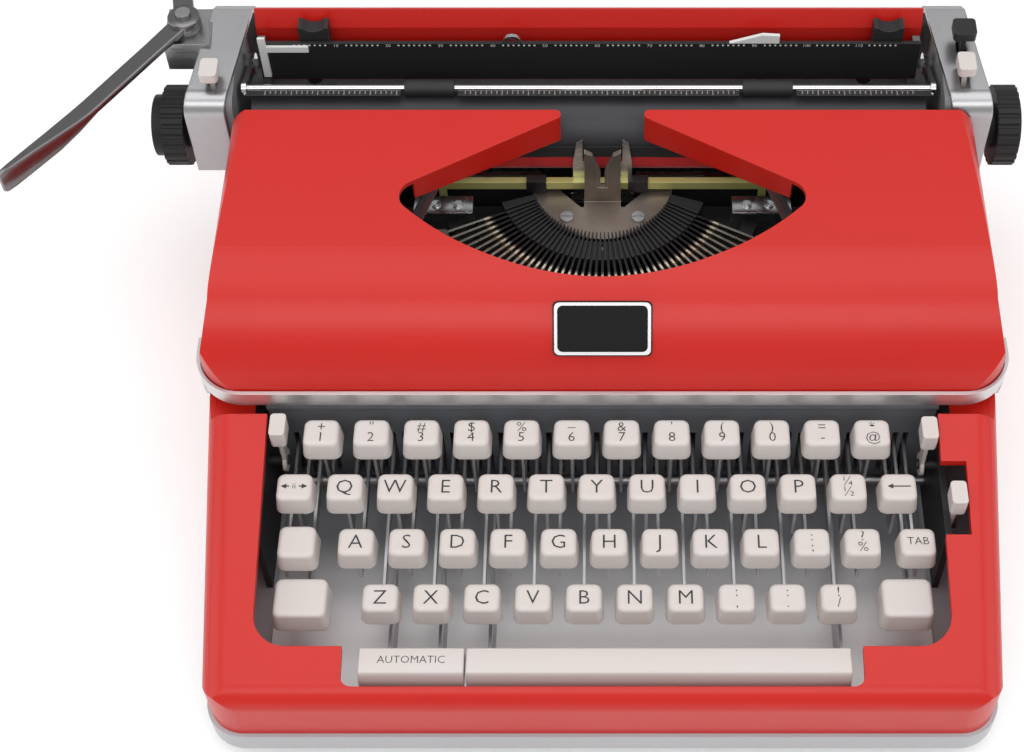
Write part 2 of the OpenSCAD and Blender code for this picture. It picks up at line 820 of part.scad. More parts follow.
module space_bar() spacing_bar(space_x, [bar_arm_x[2], bar_arm_x[3]]);
module automatic_key() spacing_bar(auto_x, [bar_arm_x[0], bar_arm_x[1]]);

module comb_plate() color("dimgray") {
  plate_xz(comb_y - comb_t / 2, comb_y + comb_t / 2) difference() {
    translate([-plate_x, floor_top]) square([2 * plate_x, comb_top - floor_top]);
    for (x = lever_xs) translate([x - comb_slot_w / 2, comb_slot_z[0]])
      square([comb_slot_w, comb_slot_z[1] - comb_slot_z[0]]);
  }
  x_rod(comb_ridge_r, -plate_x, plate_x, comb_y, comb_top);
}

// Small side lever on a stud: y and z of the stud, then the button centre
module side_lever(x, y, z, by, bz) color("ivory") {
  plate_yz(x - side_lever_t / 2, x + side_lever_t / 2) difference() {
    union() {
      translate([y, z]) circle(side_boss_r);
      shape([[y - 2.5, z], [y + 2.5, z], [by + 2.5, bz - side_button[2] / 2 + 1],
        [by - 2.5, bz - side_button[2] / 2 + 1]]);
    }
    translate([y, z]) circle(side_stud_r + run_gap);
  }
  translate([x, by, bz - side_button[2] / 2]) linear_extrude(side_button[2])
    rounded(-side_button[0] / 2, side_button[0] / 2, -side_button[1] / 2, side_button[1] / 2, 1.5);
}

module ribbon_selector()
  side_lever(selector_x[0], selector_y[0], selector_stud_z, selector_y[0], selector_z[0]);
module touch_selector()
  side_lever(selector_x[1], selector_y[1], selector_stud_z, selector_y[1], selector_z[1]);
module tab_set_lever()
  side_lever(tab_set_x, tab_set_stud[0], tab_set_stud[1], tab_set_button[0], tab_set_button[1]);

// Type basket

module fan_at(i) translate([0, fan_y, 0]) rotate((fan_first + i) * fan_step) children();

// Ring between two radii, cut to the fan angle
module fan_ring(r, half) translate([0, fan_y]) intersection() {
  difference() {
    circle(r[1]);
    circle(r[0]);
  }
  polygon([[0, 0], [-past * tan(half), -past], [past * tan(half), -past]]);
}

module segment() color("dimgray") {
  difference() {
    translate([0, 0, deck_top]) linear_extrude(seg_top - deck_top) fan_ring(seg_r, seg_half_angle);
    for (i = [0:fan_count - 1]) fan_at(i)
      block([-slot_w / 2, -seg_r[1] - 2, slot_floor], [slot_w / 2, -seg_r[0] + 2, seg_top + 1]);
  }
  x_rod(pivot_pin_r, -slot_w, slot_w, fan_y - pivot_r, pivot_z);
  translate([0, 0, deck_top]) linear_extrude(pivot_z - type_bar_h / 2 - deck_top)
    fan_ring(rest_r, seg_half_angle);
}

// Type bar lying forward from the pivot, with its type slug at the tip
module typebar() {
  z0 = pivot_z - type_bar_h / 2;
  block([-bar_t / 2, -pivot_r - type_reach + 2, z0], [bar_t / 2, -pivot_r + 3, z0 + type_bar_h]);
  translate([0, -pivot_r - type_reach, pivot_z]) rotate([-slug_tilt, 0, 0])
    block([-slug_w / 2, 0, -slug_h / 2], [slug_w / 2, slug_l, slug_h / 2]);
}

module typebars() color("silver") for (i = [0:fan_count - 1]) if (i != -fan_first) fan_at(i) typebar();

module striking_typebar() color("silver") difference() {
  fan_at(-fan_first) union() {
    typebar();
    x_rod(pivot_pin_r + 1.5, -bar_t / 2, bar_t / 2, -pivot_r, pivot_z);
  }
  x_rod(pivot_pin_r + run_gap, -slug_w, slug_w, fan_y - pivot_r, pivot_z);
}

module type_guide() color("darkkhaki") {
  translate([0, 0, deck_top]) linear_extrude(guide_top - deck_top) intersection() {
    translate([0, fan_y]) circle(guide_r);
    shape([[-guide_r, 0], [guide_r, 0], [guide_r, guide_back], [guide_notch_x[2], guide_back],
      [guide_notch_x[1], guide_notch_y], [guide_notch_x[0], guide_notch_y], [guide_notch_x[0], guide_back],
      [-guide_notch_x[0], guide_back], [-guide_notch_x[0], guide_notch_y], [-guide_notch_x[1], guide_notch_y],
      [-guide_notch_x[2], guide_back], [-guide_r, guide_back]]);
  }
  plate_xz(post_y - post_t / 2, post_y + post_t / 2) polygon([[-post_half, guide_top - 1],
    [post_half, guide_top - 1], [post_half, post_top], [post_notch[0], post_top - post_notch[1]],
    [post_slit, post_top - post_vee], [post_slit, post_slit_z], [-post_slit, post_slit_z],
    [-post_slit, post_top - post_vee], [-post_notch[0], post_top - post_notch[1]], [-post_half, post_top]]);
}

module guide_rail() color("khaki") {
  block([-rail_half, rail_y[0], rail_z[0]], [rail_half, rail_y[1], rail_z[1]]);
  for (x = [-rail_half, rail_half - rail_leg])
    block([x, rail_y[0], deck_top], [x + rail_leg, rail_y[1], rail_z[1]]);
  for (x = rail_clip_x) block([x - rail_clip_half, rail_y[0] - 1, rail_z[0] - 1],
    [x + rail_clip_half, rail_y[1], rail_z[1] + 1.5]);
}

module ribbon_vibrator() color("silver") plate_xz(rail_y[1], rail_y[1] + vibrator_t) {
  translate([-vibrator_half - 1, vibrator_z]) square([2 * vibrator_half + 2, 6]);
  for (s = [-1, 1]) shape([[s * prong_in, vibrator_z + 4], [s * vibrator_half, vibrator_z + 4],
    [s * vibrator_half, ribbon_z[0] + 6], [s * (vibrator_half - 1.5), vibrator_top - 2],
    [s * (prong_in + 1), vibrator_top], [s * (prong_in + 1), ribbon_z[0] + 8],
    [s * prong_in, ribbon_z[0] + 6]]);
}

// Ribbon past the print point and back to the spools on both sides
module ribbon() color("black") translate([0, 0, ribbon_z[0]]) linear_extrude(ribbon_z[1] - ribbon_z[0]) {
  dx = spool_x - ribbon_half;
  dy = ribbon_y - spool_y;
  away = norm([dx, dy]);
  keep = spool_pack_r + 0.7;
  lean = atan2(dy, dx) + asin(keep / away);
  translate([-ribbon_half, ribbon_y - ribbon_t / 2]) square([2 * ribbon_half, ribbon_t]);
  for (s = [-1, 1]) translate([s * ribbon_half, ribbon_y]) rotate(s > 0 ? -lean : 180 + lean)
    translate([0, -ribbon_t / 2]) square([sqrt(away * away - keep * keep), ribbon_t]);
}

module spool(s) color("gray") translate([s * spool_x, spool_y, 0]) rotate_extrude() polygon([
  [spool_post_r + run_gap, spool_z[0]], [spool_r, spool_z[0]], [spool_r, spool_z[0] + spool_rim_t],
  [spool_pack_r, spool_z[0] + spool_rim_t], [spool_pack_r, spool_z[1] - spool_rim_t],
  [spool_r, spool_z[1] - spool_rim_t], [spool_r, spool_z[1]], [spool_post_r + run_gap, spool_z[1]]]);

module left_spool() spool(-1);
module right_spool() spool(1);

// Carriage

module carriage_truck() color("gray") {
  on_carriage() {
    block([-truck_half, truck_y[0], truck_z], [truck_half, truck_y[1], truck_top]);
    difference() {
      block([-shoe_half, rod_y[0] - shoe_wall, rod_z - shoe_wall],
        [shoe_half, rod_y[1] + shoe_wall, truck_z]);
      for (y = rod_y) x_rod(rod_r + run_gap, -shoe_half - 1, shoe_half + 1, y, rod_z);
    }
    for (s = [-1, 1]) translate([s * lift_pin_x, lift_pin_y, truck_top]) {
      cylinder(r = lift_boss_r - 1, h = seat_z - truck_top);
      cylinder(r = lift_pin_r, h = seat_z + 10 - truck_top);
    }
  }
  plate_xz(rack_y[0], rack_y[1]) for (i = [-rack_teeth / 2:rack_teeth / 2]) rack_tooth(i * PI * rack_module);
}

// Straight-sided rack tooth pointing down at x
module rack_tooth(x) {
  tip = rack_pitch_z - 0.9 * rack_module;
  root = truck_z + 0.5;
  half = PI * rack_module / 4 - 0.15;
  polygon([[x - half + tan(20) * (rack_pitch_z - tip), tip], [x + half - tan(20) * (rack_pitch_z - tip), tip],
    [x + half + tan(20) * (root - rack_pitch_z), root], [x - half - tan(20) * (root - rack_pitch_z), root]]);
}

// Gear outline with involute flanks; a tooth gap points up
module gear_outline(teeth, m) {
  pitch = m * teeth / 2;
  base = pitch * cos(20);
  tip = pitch + 0.9 * m;
  half = 90 / teeth - 1;
  roll = 0.854;
  last = sqrt(pow(tip / base, 2) - 1) * 180 / PI;
  flank = [for (k = [0:5]) let (a = last * k / 5, p = base * [cos(a) + a * PI / 180 * sin(a),
    sin(a) - a * PI / 180 * cos(a)], turn = atan2(p[1], p[0]) - half - roll)
    norm(p) * [sin(turn), cos(turn)]];
  circle(pitch - 1.25 * m);
  for (i = [0:teeth - 1]) rotate((i + 0.5) * 360 / teeth) shape(concat([[0, 0]], flank,
    [for (k = [5:-1:0]) [-flank[k][0], flank[k][1]]]));
}

module escapement_wheel() color("goldenrod") translate([0, rack_y[1] - 0.5, pinion_z]) rotate([90, 0, 0])
  linear_extrude(rack_y[1] - rack_y[0] - 1) difference() {
    gear_outline(pinion_teeth, rack_module);
    circle(pinion_axle_r + run_gap);
  }

module mainspring_drum() color("goldenrod") translate([drum_x, drum_y, 0]) rotate_extrude() polygon([
  [drum_axle_r + run_gap, drum_z[0]], [drum_r + drum_rim, drum_z[0]],
  [drum_r + drum_rim, drum_z[0] + drum_rim],
  [drum_r, drum_z[0] + drum_rim], [drum_r, drum_z[1] - drum_rim], [drum_r + drum_rim, drum_z[1] - drum_rim],
  [drum_r + drum_rim, drum_z[1]], [drum_axle_r + run_gap, drum_z[1]]]);

// Side view of the carriage ends, grown inwards by t and reaching down to z0
module end_profile(t, z0) {
  nose_y = end_front + end_nose_r;
  translate([nose_y, end_nose_z]) circle(end_nose_r - t);
  shape([[end_front + t, z0], [end_front + t, end_nose_z], [nose_y, end_nose_z],
    [nose_y, end_nose_z + end_nose_r - t], [end_rear - end_bevel[0], end_top_z - t],
    [end_rear - t, end_top_z - end_bevel[1] - t], [end_rear - t, z0]]);
}

// Plan between the inner and outer sides of a carriage end, which draw in towards the rear
module end_plan(s, inner, outer) shape([[s * inner, end_front], [s * outer, end_front],
  [s * (outer - end_draw), end_rear], [s * (inner - end_draw), end_rear]]);

// Carriage end between two sides, t inside its outline
module end_solid(s, t, z0, inner) intersection() {
  plate_yz(s > 0 ? 0 : -past, s > 0 ? past : 0) end_profile(t, z0);
  linear_extrude(past) end_plan(s, inner, carriage_half - t);
}

module carriage_frame() color("gray") on_carriage() {
  for (s = [-1, 1]) difference() {
    plate_yz(s > 0 ? end_plate_x : -end_cover_x, s > 0 ? end_cover_x : -end_plate_x)
      end_profile(end_wall + run_gap, seat_z);
    x_rod(shaft_r + run_gap, -past, past, platen_y, platen_z);
  }
  difference() {
    block([-end_plate_x, frame_beam_y[0], seat_z], [end_plate_x, frame_beam_y[1], frame_beam_top]);
    for (s = [-1, 1]) translate([s * lift_pin_x, lift_pin_y, 0]) cylinder(r = lift_pin_r + run_gap, h = past);
  }
  for (s = [-1, 1]) {
    x_rod(bail_pin_r, s > 0 ? end_plate_x - 5 : -end_plate_x, s > 0 ? end_plate_x : -end_plate_x + 5,
      bail_pivot_y, bail_pivot_z);
    block([s * scale_half - 1.5, scale_y[1], frame_beam_top - 1],
      [s * scale_half + 1.5, table_y - 1, margin_rod_z + 4]);
  }
  x_rod(margin_rod_r, -scale_half, scale_half, margin_rod_y, margin_rod_z);
  for (y = [release_y, paper_release_y])
    x_rod(end_stud_r, end_cover_x, end_cover_x + end_stud_l, y, end_stud_z);
  x_rod(end_stud_r, -end_cover_x - end_stud_l, -end_cover_x, line_space_y, end_stud_z);
  difference() {
    block([stud_x - stud_block[0], stud_y - stud_block[1], stud_z - stud_block[2]],
      [-carriage_half + end_draw, stud_y + stud_block[1], stud_z]);
    end_solid(-1, 0, seat_z, end_cover_x);
  }
  translate([stud_x, stud_y, stud_z - 2]) cylinder(r = stud_r, h = 10);
}

// Sheet cover over one carriage end with slots for the levers that come up through it
module end_cover(s, slots) color("silver") on_carriage() difference() {
  end_solid(s, 0, seat_z, end_cover_x);
  end_solid(s, end_wall, seat_z - cover_past, end_cover_x - end_wall);
  x_rod(shaft_r + 0.6, s > 0 ? end_cover_x : -past, s > 0 ? past : -end_cover_x, platen_y, platen_z);
  for (y = slots) block([s * end_lever_x - end_slot_w / 2, y - 7, end_nose_z],
    [s * end_lever_x + end_slot_w / 2, y + 4, past]);
}

module left_end_cover() end_cover(-1, [line_space_y]);
module right_end_cover() end_cover(1, [release_y, paper_release_y]);

// Lever on a stud inside an end cover; its finger piece sits above the cover
module end_lever(s, y, rise, pad, pad_w) on_carriage() {
  x = s * end_lever_x;
  top = end_top_z + rise;
  plate_yz(x - end_lever_t / 2, x + end_lever_t / 2) difference() {
    union() {
      translate([y, end_stud_z]) circle(end_boss_r);
      translate([y - end_lever_w / 2, end_stud_z]) square([end_lever_w, top + 1 - end_stud_z]);
    }
    translate([y, end_stud_z]) circle(end_stud_r + run_gap);
  }
  translate([x, 0, top]) linear_extrude(pad_h) rounded(-pad_w / 2, pad_w / 2, y + pad[0], y + pad[1], 1.5);
}

module line_space_lever() color("ivory")
  end_lever(-1, line_space_y, cream_pad_rise, line_space_pad, cream_pad_w);
module carriage_release_lever() color("ivory")
  end_lever(1, release_y, cream_pad_rise, release_pad, cream_pad_w);
module paper_release_lever() color("black")
  end_lever(1, paper_release_y, black_pad_rise, paper_release_pad, black_pad_w);

module paper_table() color("red") on_carriage() plate_yz(-table_half, table_half) polygon([
  [table_y, frame_beam_top], [table_y, table_bend_z], [table_y + table_lean, table_top],
  [table_y + table_lean + table_t, table_top - 0.6], [table_y + table_t, table_bend_z - 0.5],
  [table_y + table_t, frame_beam_top]]);

module paper_scale() color("black") on_carriage() {
  block([-scale_half - 1, scale_y[0], scale_z[0]], [scale_half + 1, scale_y[1], scale_z[1]]);
  plate_xz(scale_y[0] - guide_t, scale_y[0]) {
    translate([-scale_half, scale_z[1] - 4]) square([guide_l, guide_w]);
    translate([-scale_half, scale_z[0] + 2]) square([guide_w, guide_h]);
  }
  plate_xz(scale_y[0], scale_y[1]) polygon([[flap_x[0], scale_z[1] - 1], [flap_x[1], scale_z[1] - 1],
    [flap_x[1], scale_z[1] + 4], [flap_x[1] - 7, scale_z[1] + 4.5]]);
  plate_xz(scale_y[0], scale_y[1]) translate([arch_x, scale_z[1]]) difference() {
    circle(arch_r[1]);
    circle(arch_r[0]);
    translate([-arch_r[1] - 1, -2 * arch_r[1] - 0.5]) square([2 * arch_r[1] + 2, 2 * arch_r[1]]);
  }
}

module platen() color("black") on_carriage() {
  x_rod(platen_r, -platen_half, platen_half, platen_y, platen_z);
  x_rod(shaft_r, -carriage_half - 1, carriage_half + 1, platen_y, platen_z);
}

// Knob on the platen shaft: a neck, a fluted rim and a smaller outer step
module knob(s, neck, step, step_r) color("black") on_carriage()
  translate([s * (carriage_half + 1), platen_y, platen_z]) rotate([0, s * 90, 0]) difference() {
    union() {
      cylinder(r = knob_neck_r, h = neck + 1);
      translate([0, 0, neck]) cylinder(r = knob_r, h = knob_rim);
      translate([0, 0, neck + knob_rim - 1]) cylinder(r = step_r, h = step + 1);
    }
    for (a = [0:knob_flute_step:359]) rotate(a) translate([knob_r + 0.3, 0, neck - 1])
      cylinder(r = knob_flute_r, h = knob_rim + 2, $fn = 16);
  }

module left_knob() knob(-1, knob_neck[0], knob_step[0], knob_r - 3.9);
module right_knob() knob(1, knob_neck[1], knob_step[1], knob_r - 3.4);

module paper_bail() color("silver") on_carriage() {
  for (s = [-1, 1]) plate_yz(s * bail_arm_x - 1, s * bail_arm_x + 1) difference() {
    union() {
      translate([bail_pivot_y, bail_pivot_z]) circle(4.5);
      translate([bail_y, bail_z]) circle(3);
      shape([[bail_pivot_y, bail_pivot_z - 2.5], [bail_pivot_y, bail_pivot_z + 2.5], [bail_y, bail_z + 2],
        [bail_y, bail_z - 2]]);
    }
    translate([bail_pivot_y, bail_pivot_z]) circle(bail_pin_r + run_gap);
  }
  x_rod(bail_rod_r, -bail_arm_x, bail_arm_x, bail_y, bail_z);
  difference() {
    block([-bail_arm_x, bail_y - 4.5, bail_z - 0.4], [bail_arm_x, bail_y, bail_z + 0.4]);
    for (x = roller_x) block([x - roller_half - 1.5, bail_y - 8, bail_z - 5],
      [x + roller_half + 1.5, bail_y + 3, bail_z + 5]);
  }
  for (x = roller_x) x_rod(bail_rod_r, x - roller_half - 2, x + roller_half + 2, bail_y, bail_z);
}

module bail_rollers() color("black") on_carriage() for (x = roller_x) difference() {
  x_rod(roller_r, x - roller_half, x + roller_half, bail_y, bail_z);
  x_rod(bail_rod_r + run_gap, x - roller_half - 1, x + roller_half + 1, bail_y, bail_z);
}

// Margin stop with a hollow thumb rest, sliding on the margin rod
module margin_stop(x) color("black") on_carriage() translate([x, 0, 0]) difference() {
  plate_xz(scale_y[1] + 0.5, table_y - 1) difference() {
    translate([-6, margin_rod_z - 5]) square([12, 19]);
    translate([0, margin_rod_z + 18]) circle(6);
  }
  x_rod(margin_rod_r + run_gap, -10, 10, margin_rod_y, margin_rod_z);
}

module left_margin_stop() margin_stop(margin_stop_x[0]);
module right_margin_stop() margin_stop(margin_stop_x[1]);

// Return lever: hub on the stud, slim bar, then an upright paddle
module return_lever() color("silver") on_carriage() translate([stud_x, stud_y, 0]) difference() {
  union() {
    translate([0, 0, stud_z]) cylinder(r = 6.5, h = 6);
    translate([0, 0, stud_z + 1.5]) linear_extrude(3) {
      rotate(lever_angle) translate([0, -3.5]) square([return_reach - 40, 7]);
      rotate(100) translate([0, -4]) square([17, 8]);
    }
    rotate([0, 0, lever_angle]) plate_xz(-1.2, 1.2) polygon([[return_reach - 50, stud_z + 1.5],
      [return_reach - 40, stud_z - 3.5], [return_reach, stud_z - 3], [return_reach, stud_z + 9],
      [return_reach - 36, stud_z + 8], [return_reach - 50, stud_z + 4.5]]);
  }
  translate([0, 0, stud_z - 1]) cylinder(r = stud_r + run_gap, h = 20);
}

base_pan();
rubber_feet();
body_shell();
chassis_frame();
key_well_floor();
comb_plate();
fulcrum_rod();
segment();
typebars();
type_guide();
guide_rail();
carriage_rail();
ribbon();
bell();
screws();
number_row_keys();
number_row_levers();
top_row_keys();
top_row_levers();
home_row_keys();
home_row_levers();
bottom_row_keys();
bottom_row_levers();
margin_release_key();
backspace_key();
shift_lock_key();
tab_key();
left_shift_key();
right_shift_key();
space_bar();
automatic_key();
ribbon_selector();
touch_selector();
tab_set_lever();
ribbon_cover();
cover_trim();
badge_plate();
carriage_truck();
mainspring_drum();
escapement_wheel();
carriage_frame();
left_end_cover();
right_end_cover();
paper_table();
paper_scale();
platen();
left_knob();
right_knob();
paper_bail();
bail_rollers();
left_margin_stop();
right_margin_stop();
return_lever();
line_space_lever();
paper_release_lever();
carriage_release_lever();
left_spool();
right_spool();
ribbon_vibrator();
striking_typebar();
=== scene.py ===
"""Portable manual typewriter: red case, cream keys, sliding carriage. Metres, desk at z = 0."""
import math

import bmesh
import bpy
from mathutils import Matrix, Vector


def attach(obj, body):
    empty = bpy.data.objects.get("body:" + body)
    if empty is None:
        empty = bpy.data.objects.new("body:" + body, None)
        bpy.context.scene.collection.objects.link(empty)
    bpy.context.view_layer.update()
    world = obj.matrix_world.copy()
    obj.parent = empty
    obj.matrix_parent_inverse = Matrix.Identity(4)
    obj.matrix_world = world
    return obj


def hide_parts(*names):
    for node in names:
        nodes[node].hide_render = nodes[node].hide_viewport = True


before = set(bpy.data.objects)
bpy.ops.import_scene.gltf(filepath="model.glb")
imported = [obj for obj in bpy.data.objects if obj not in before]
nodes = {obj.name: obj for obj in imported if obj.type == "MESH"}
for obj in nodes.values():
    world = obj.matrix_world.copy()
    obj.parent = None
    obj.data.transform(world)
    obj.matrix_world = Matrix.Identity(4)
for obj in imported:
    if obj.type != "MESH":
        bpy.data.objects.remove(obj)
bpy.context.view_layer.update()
scene = bpy.context.scene
scene.view_settings.view_transform = "Standard"

# Camera: above and in front of the keyboard, looking down at 55 degrees. The typewriter stands right of
# the picture's middle because the return lever reaches out to the left.
CAMERA_DIP = 55
camera_data = bpy.data.cameras.new("camera")
camera_data.lens = 64.8
camera_data.sensor_width = 36.0
camera_data.sensor_fit = "HORIZONTAL"
camera_data.shift_x = -0.0884
camera_data.clip_end = 20.0
camera = bpy.data.objects.new("camera", camera_data)
camera.location = (0.0, -0.4242, 0.6525)
camera.rotation_euler = (math.radians(90 - CAMERA_DIP), 0, 0)
scene.collection.objects.link(camera)
scene.camera = camera


# Base pan: a shallow pressed tray, painted light grey, that the whole machine is screwed down to.
# Its rounded rim shows as a pale strip under the red shell. The four feet are moulded black rubber.
class Wire:
    """A value inside a shader tree; sums, differences and products add Math nodes."""

    def __init__(self, tree, socket):
        self.tree = tree
        self.socket = socket

    def math(self, operation, other, swap=False):
        """Math node on this value and another."""
        node = self.tree.nodes.new("ShaderNodeMath")
        node.operation = operation
        for value, socket in zip((other, self) if swap else (self, other), node.inputs):
            connect(self.tree, value, socket)
        return Wire(self.tree, node.outputs[0])

    def __add__(self, other):
        return self.math("ADD", other)

    def __radd__(self, other):
        return self.math("ADD", other, swap=True)

    def __sub__(self, other):
        return self.math("SUBTRACT", other)

    def __rsub__(self, other):
        return self.math("SUBTRACT", other, swap=True)

    def __mul__(self, other):
        return self.math("MULTIPLY", other)

    def __rmul__(self, other):
        return self.math("MULTIPLY", other, swap=True)

    def near(self, middle, reach):
        """1 where the value is within reach of the middle, 0 elsewhere."""
        return (self - middle).math("ABSOLUTE", 0.0).math("LESS_THAN", reach)


def connect(tree, value, socket):
    """Link a wire to a socket, or set a plain value on it."""
    if isinstance(value, Wire):
        tree.links.new(value.socket, socket)
    else:
        socket.default_value = value


class Finish:
    """A surface finish: one Principled shader whose plain values are set on its own sockets."""

    def __init__(self, name, **sockets):
        self.material = bpy.data.materials.new(name)
        self.material.use_nodes = True
        self.tree = self.material.node_tree
        self.shader = self.tree.nodes["Principled BSDF"]
        self.feed(**sockets)

    def node(self, kind, settings=None, inputs=None, out=0):
        """Add any node: its settings first, then the values or wires of its sockets."""
        node = self.tree.nodes.new(kind)
        for name, value in (settings or {}).items():
            setattr(node, name, value)
        for name, value in (inputs or {}).items():
            connect(self.tree, value, node.inputs[name])
        return Wire(self.tree, node.outputs[out])

    def place(self):
        """Point on the piece, in metres."""
        return self.node("ShaderNodeTexCoord", out="Object")

    def along(self, axis):
        """The same point's place along one axis."""
        return self.node("ShaderNodeSeparateXYZ", {}, {"Vector": self.place()}, out=axis)

    def rise(self, value, start, end, most=1.0, **settings):
        """0 up to the start, rising to the most at the end."""
        limits = {"Value": value, "From Min": start, "From Max": end, "To Min": 0.0, "To Max": most}
        return self.node("ShaderNodeMapRange", settings, limits)

    def noise(self, scale, detail=2.0, stretch=None):
        """Cloudy mottle; the stretch draws it out into lines."""
        where = self.place()
        if stretch:
            where = self.node("ShaderNodeMapping", {}, {"Vector": where, "Scale": stretch})
        return self.node("ShaderNodeTexNoise", {}, {"Vector": where, "Scale": scale, "Detail": detail})

    def edges(self, radius):
        """0 on flat faces, rising to 1 on edges sharper than the radius."""
        soft = self.node("ShaderNodeBevel", {"samples": 4}, {"Radius": radius})
        flat = self.node("ShaderNodeNewGeometry", out="Normal")
        agree = self.node("ShaderNodeVectorMath", {"operation": "DOT_PRODUCT"}, {0: soft, 1: flat},
                          out="Value")
        return self.rise(agree, 0.98, 0.75)

    def mix(self, amount, first, second):
        """Colour between two others."""
        colours = {"Factor": amount, 6: first, 7: second}
        return self.node("ShaderNodeMix", {"data_type": "RGBA"}, colours, out=2)

    def feed(self, **wires):
        """Set or link the shader's sockets, with an underscore for each space in their names."""
        for socket, wire in wires.items():
            connect(self.tree, wire, self.shader.inputs[socket.replace("_", " ")])

    def relief(self, height, strength, distance, radius=0.0004):
        """Surface relief on top of slightly rounded edges."""
        soft = self.node("ShaderNodeBevel", {"samples": 4}, {"Radius": radius})
        bump = {"Strength": strength, "Distance": distance, "Height": height, "Normal": soft}
        self.feed(Normal=self.node("ShaderNodeBump", {}, bump))


def rgba(r, g, b):
    """Opaque colour."""
    return (r, g, b, 1.0)


def dress(finish, *names):
    """Give whole nodes of the frame one finish."""
    for name in names:
        nodes[name].data.materials.clear()
        nodes[name].data.materials.append(finish.material)


RUBBED_EDGE = 0.0006


def painted(name, colour, worn, roughness, coat=0.0, specular=0.4):
    """Sprayed enamel: faint orange peel, slow drift of its colour, edges rubbed to a worn colour."""
    paint = Finish(name, Coat_Weight=coat, Coat_Roughness=0.2, Specular_IOR_Level=specular)
    drift = paint.noise(14.0, 3.0)
    dark = tuple(c * 0.9 for c in colour)
    base = paint.mix(drift, rgba(*dark), rgba(*colour))
    wear = paint.edges(RUBBED_EDGE) * paint.noise(220.0, 4.0)
    paint.feed(Base_Color=paint.mix(wear * 0.55, base, rgba(*worn)),
               Roughness=roughness + (paint.noise(60.0, 4.0) - 0.5) * 0.1)
    paint.relief(paint.noise(900.0, 1.0), 0.05, 0.0002)
    return paint


dress(painted("base_grey_enamel", (0.5, 0.5, 0.52), (0.66, 0.66, 0.68), 0.4), "base_pan")


def rubbery(name, colour, roughness):
    """Moulded rubber: matt, with a fine pitted skin and a little grey dust."""
    rubber = Finish(name, Specular_IOR_Level=0.3)
    dust = rubber.noise(90.0, 5.0)
    pale = tuple(c * 1.6 + 0.01 for c in colour)
    rubber.feed(Base_Color=rubber.mix(dust * 0.7, rgba(*colour), rgba(*pale)),
                Roughness=roughness + (dust - 0.5) * 0.15)
    rubber.relief(rubber.noise(1600.0, 2.0), 0.12, 0.0002)
    return rubber


dress(rubbery("foot_rubber", (0.02, 0.02, 0.021), 0.75), "rubber_feet")

# Lower shell: pressed sheet steel in red enamel, with the sloping keyboard deck, a rounded front roll and a
# well for the keys. It is screwed to the base pan's rim.
RED = (0.585, 0.014, 0.008)
red_enamel = painted("red_enamel", RED, (0.75, 0.1, 0.07), 0.36, coat=0.1, specular=0.34)
dress(red_enamel, "body_shell")

# Chassis: black-painted steel side plates, cross beams and deck, screwed down to the base pan. It carries
# every shaft of the machine.
black_enamel = painted("black_chassis_enamel", (0.022, 0.022, 0.024), (0.2, 0.2, 0.2), 0.5)
dress(black_enamel, "chassis_frame")


# Bare steel: the rod that the key levers turn on, the two rails of the carriage, the screws and the bell are
# ground and left unpainted.
def steel(name, colour, roughness, brush=(40.0, 900.0, 900.0), tarnish=0.6):
    """Rolled or ground steel: fine lines along the brushing and a faint tarnish."""
    metal = Finish(name, Metallic=1.0)
    lines = metal.noise(1.0, 3.0, stretch=brush)
    dull = metal.noise(35.0, 4.0)
    dark = tuple(c * tarnish for c in colour)
    metal.feed(Base_Color=metal.mix(dull, rgba(*dark), rgba(*colour)),
               Roughness=roughness + (lines - 0.5) * 0.25)
    metal.relief(lines, 0.06, 0.0001, radius=0.0002)
    return metal


ground_steel = steel("ground_steel", (0.62, 0.62, 0.63), 0.32)
dress(ground_steel, "fulcrum_rod", "carriage_rail", "screws", "bell")

# Key well floor: a thin sheet that lies in the base pan under the levers, pale at the front. Its grey towards
# the comb is painted shade, for the light that fails at the back of the deep well.
SHADE_FROM = -0.09
SHADE_TO = -0.05
floor_sheet = Finish("key_well_sheet")
# Painted shade: the sheet's colour darkens to grey towards the comb.
painted_shade = floor_sheet.rise(floor_sheet.along("Y"), SHADE_FROM, SHADE_TO, interpolation_type="SMOOTHSTEP")
mottle = floor_sheet.noise(55.0, 4.0)
pale_sheet = floor_sheet.mix(mottle, rgba(0.9, 0.9, 0.91), rgba(0.95, 0.95, 0.96))
floor_sheet.feed(Base_Color=floor_sheet.mix(painted_shade, pale_sheet, rgba(0.3, 0.31, 0.33)),
                 Roughness=0.42 + (mottle - 0.5) * 0.2)
floor_sheet.relief(floor_sheet.noise(500.0, 2.0), 0.05, 0.0002)
dress(floor_sheet, "key_well_floor")

# Comb plate: dark grey painted steel sheet with a rolled top and one slot for each key lever. It stands at
# the rear of the key well and keeps the levers in line.
dress(painted("comb_grey", (0.17, 0.18, 0.2), (0.4, 0.4, 0.42), 0.42), "comb_plate")

# Character keys: 44 cream moulded caps in four stepped rows, each pressed onto its steel lever. The caps
# have sloping sides, a soft upper edge and a barely hollow top. Their signs are printed in dark ink.
PITCH = 0.01905
FIRST_KEY_X = -0.107
ROW_SHIFT = (0.0, 0.5, 0.75, 1.25)
ROW_BODIES = ("number_row", "top_row", "home_row", "bottom_row")
ROW_SIGNS = (("+1", "\"2", "#3", "$4", "%5", "–6", "&7", "'8", "(9", ")0", "=-", "*@"),
             ("Q", "W", "E", "R", "T", "Y", "U", "I", "O", "P", "¼½"),
             ("A", "S", "D", "F", "G", "H", "J", "K", "L", ":;", "?%"),
             ("Z", "X", "C", "V", "B", "N", "M", ":,", ":.", "!/"))
FIRST_ROW_Y = -0.040
ROW_STEP = 0.019
FIRST_ROW_TOP = 0.067
ROW_FALL = 0.0085
CAP = Vector((0.015, 0.0136, 0.009))
CAP_CORNER = 0.0032
CAP_EDGE = 0.0017
CAP_EDGE_STEPS = 4
CAP_DRAFT = 0.0008
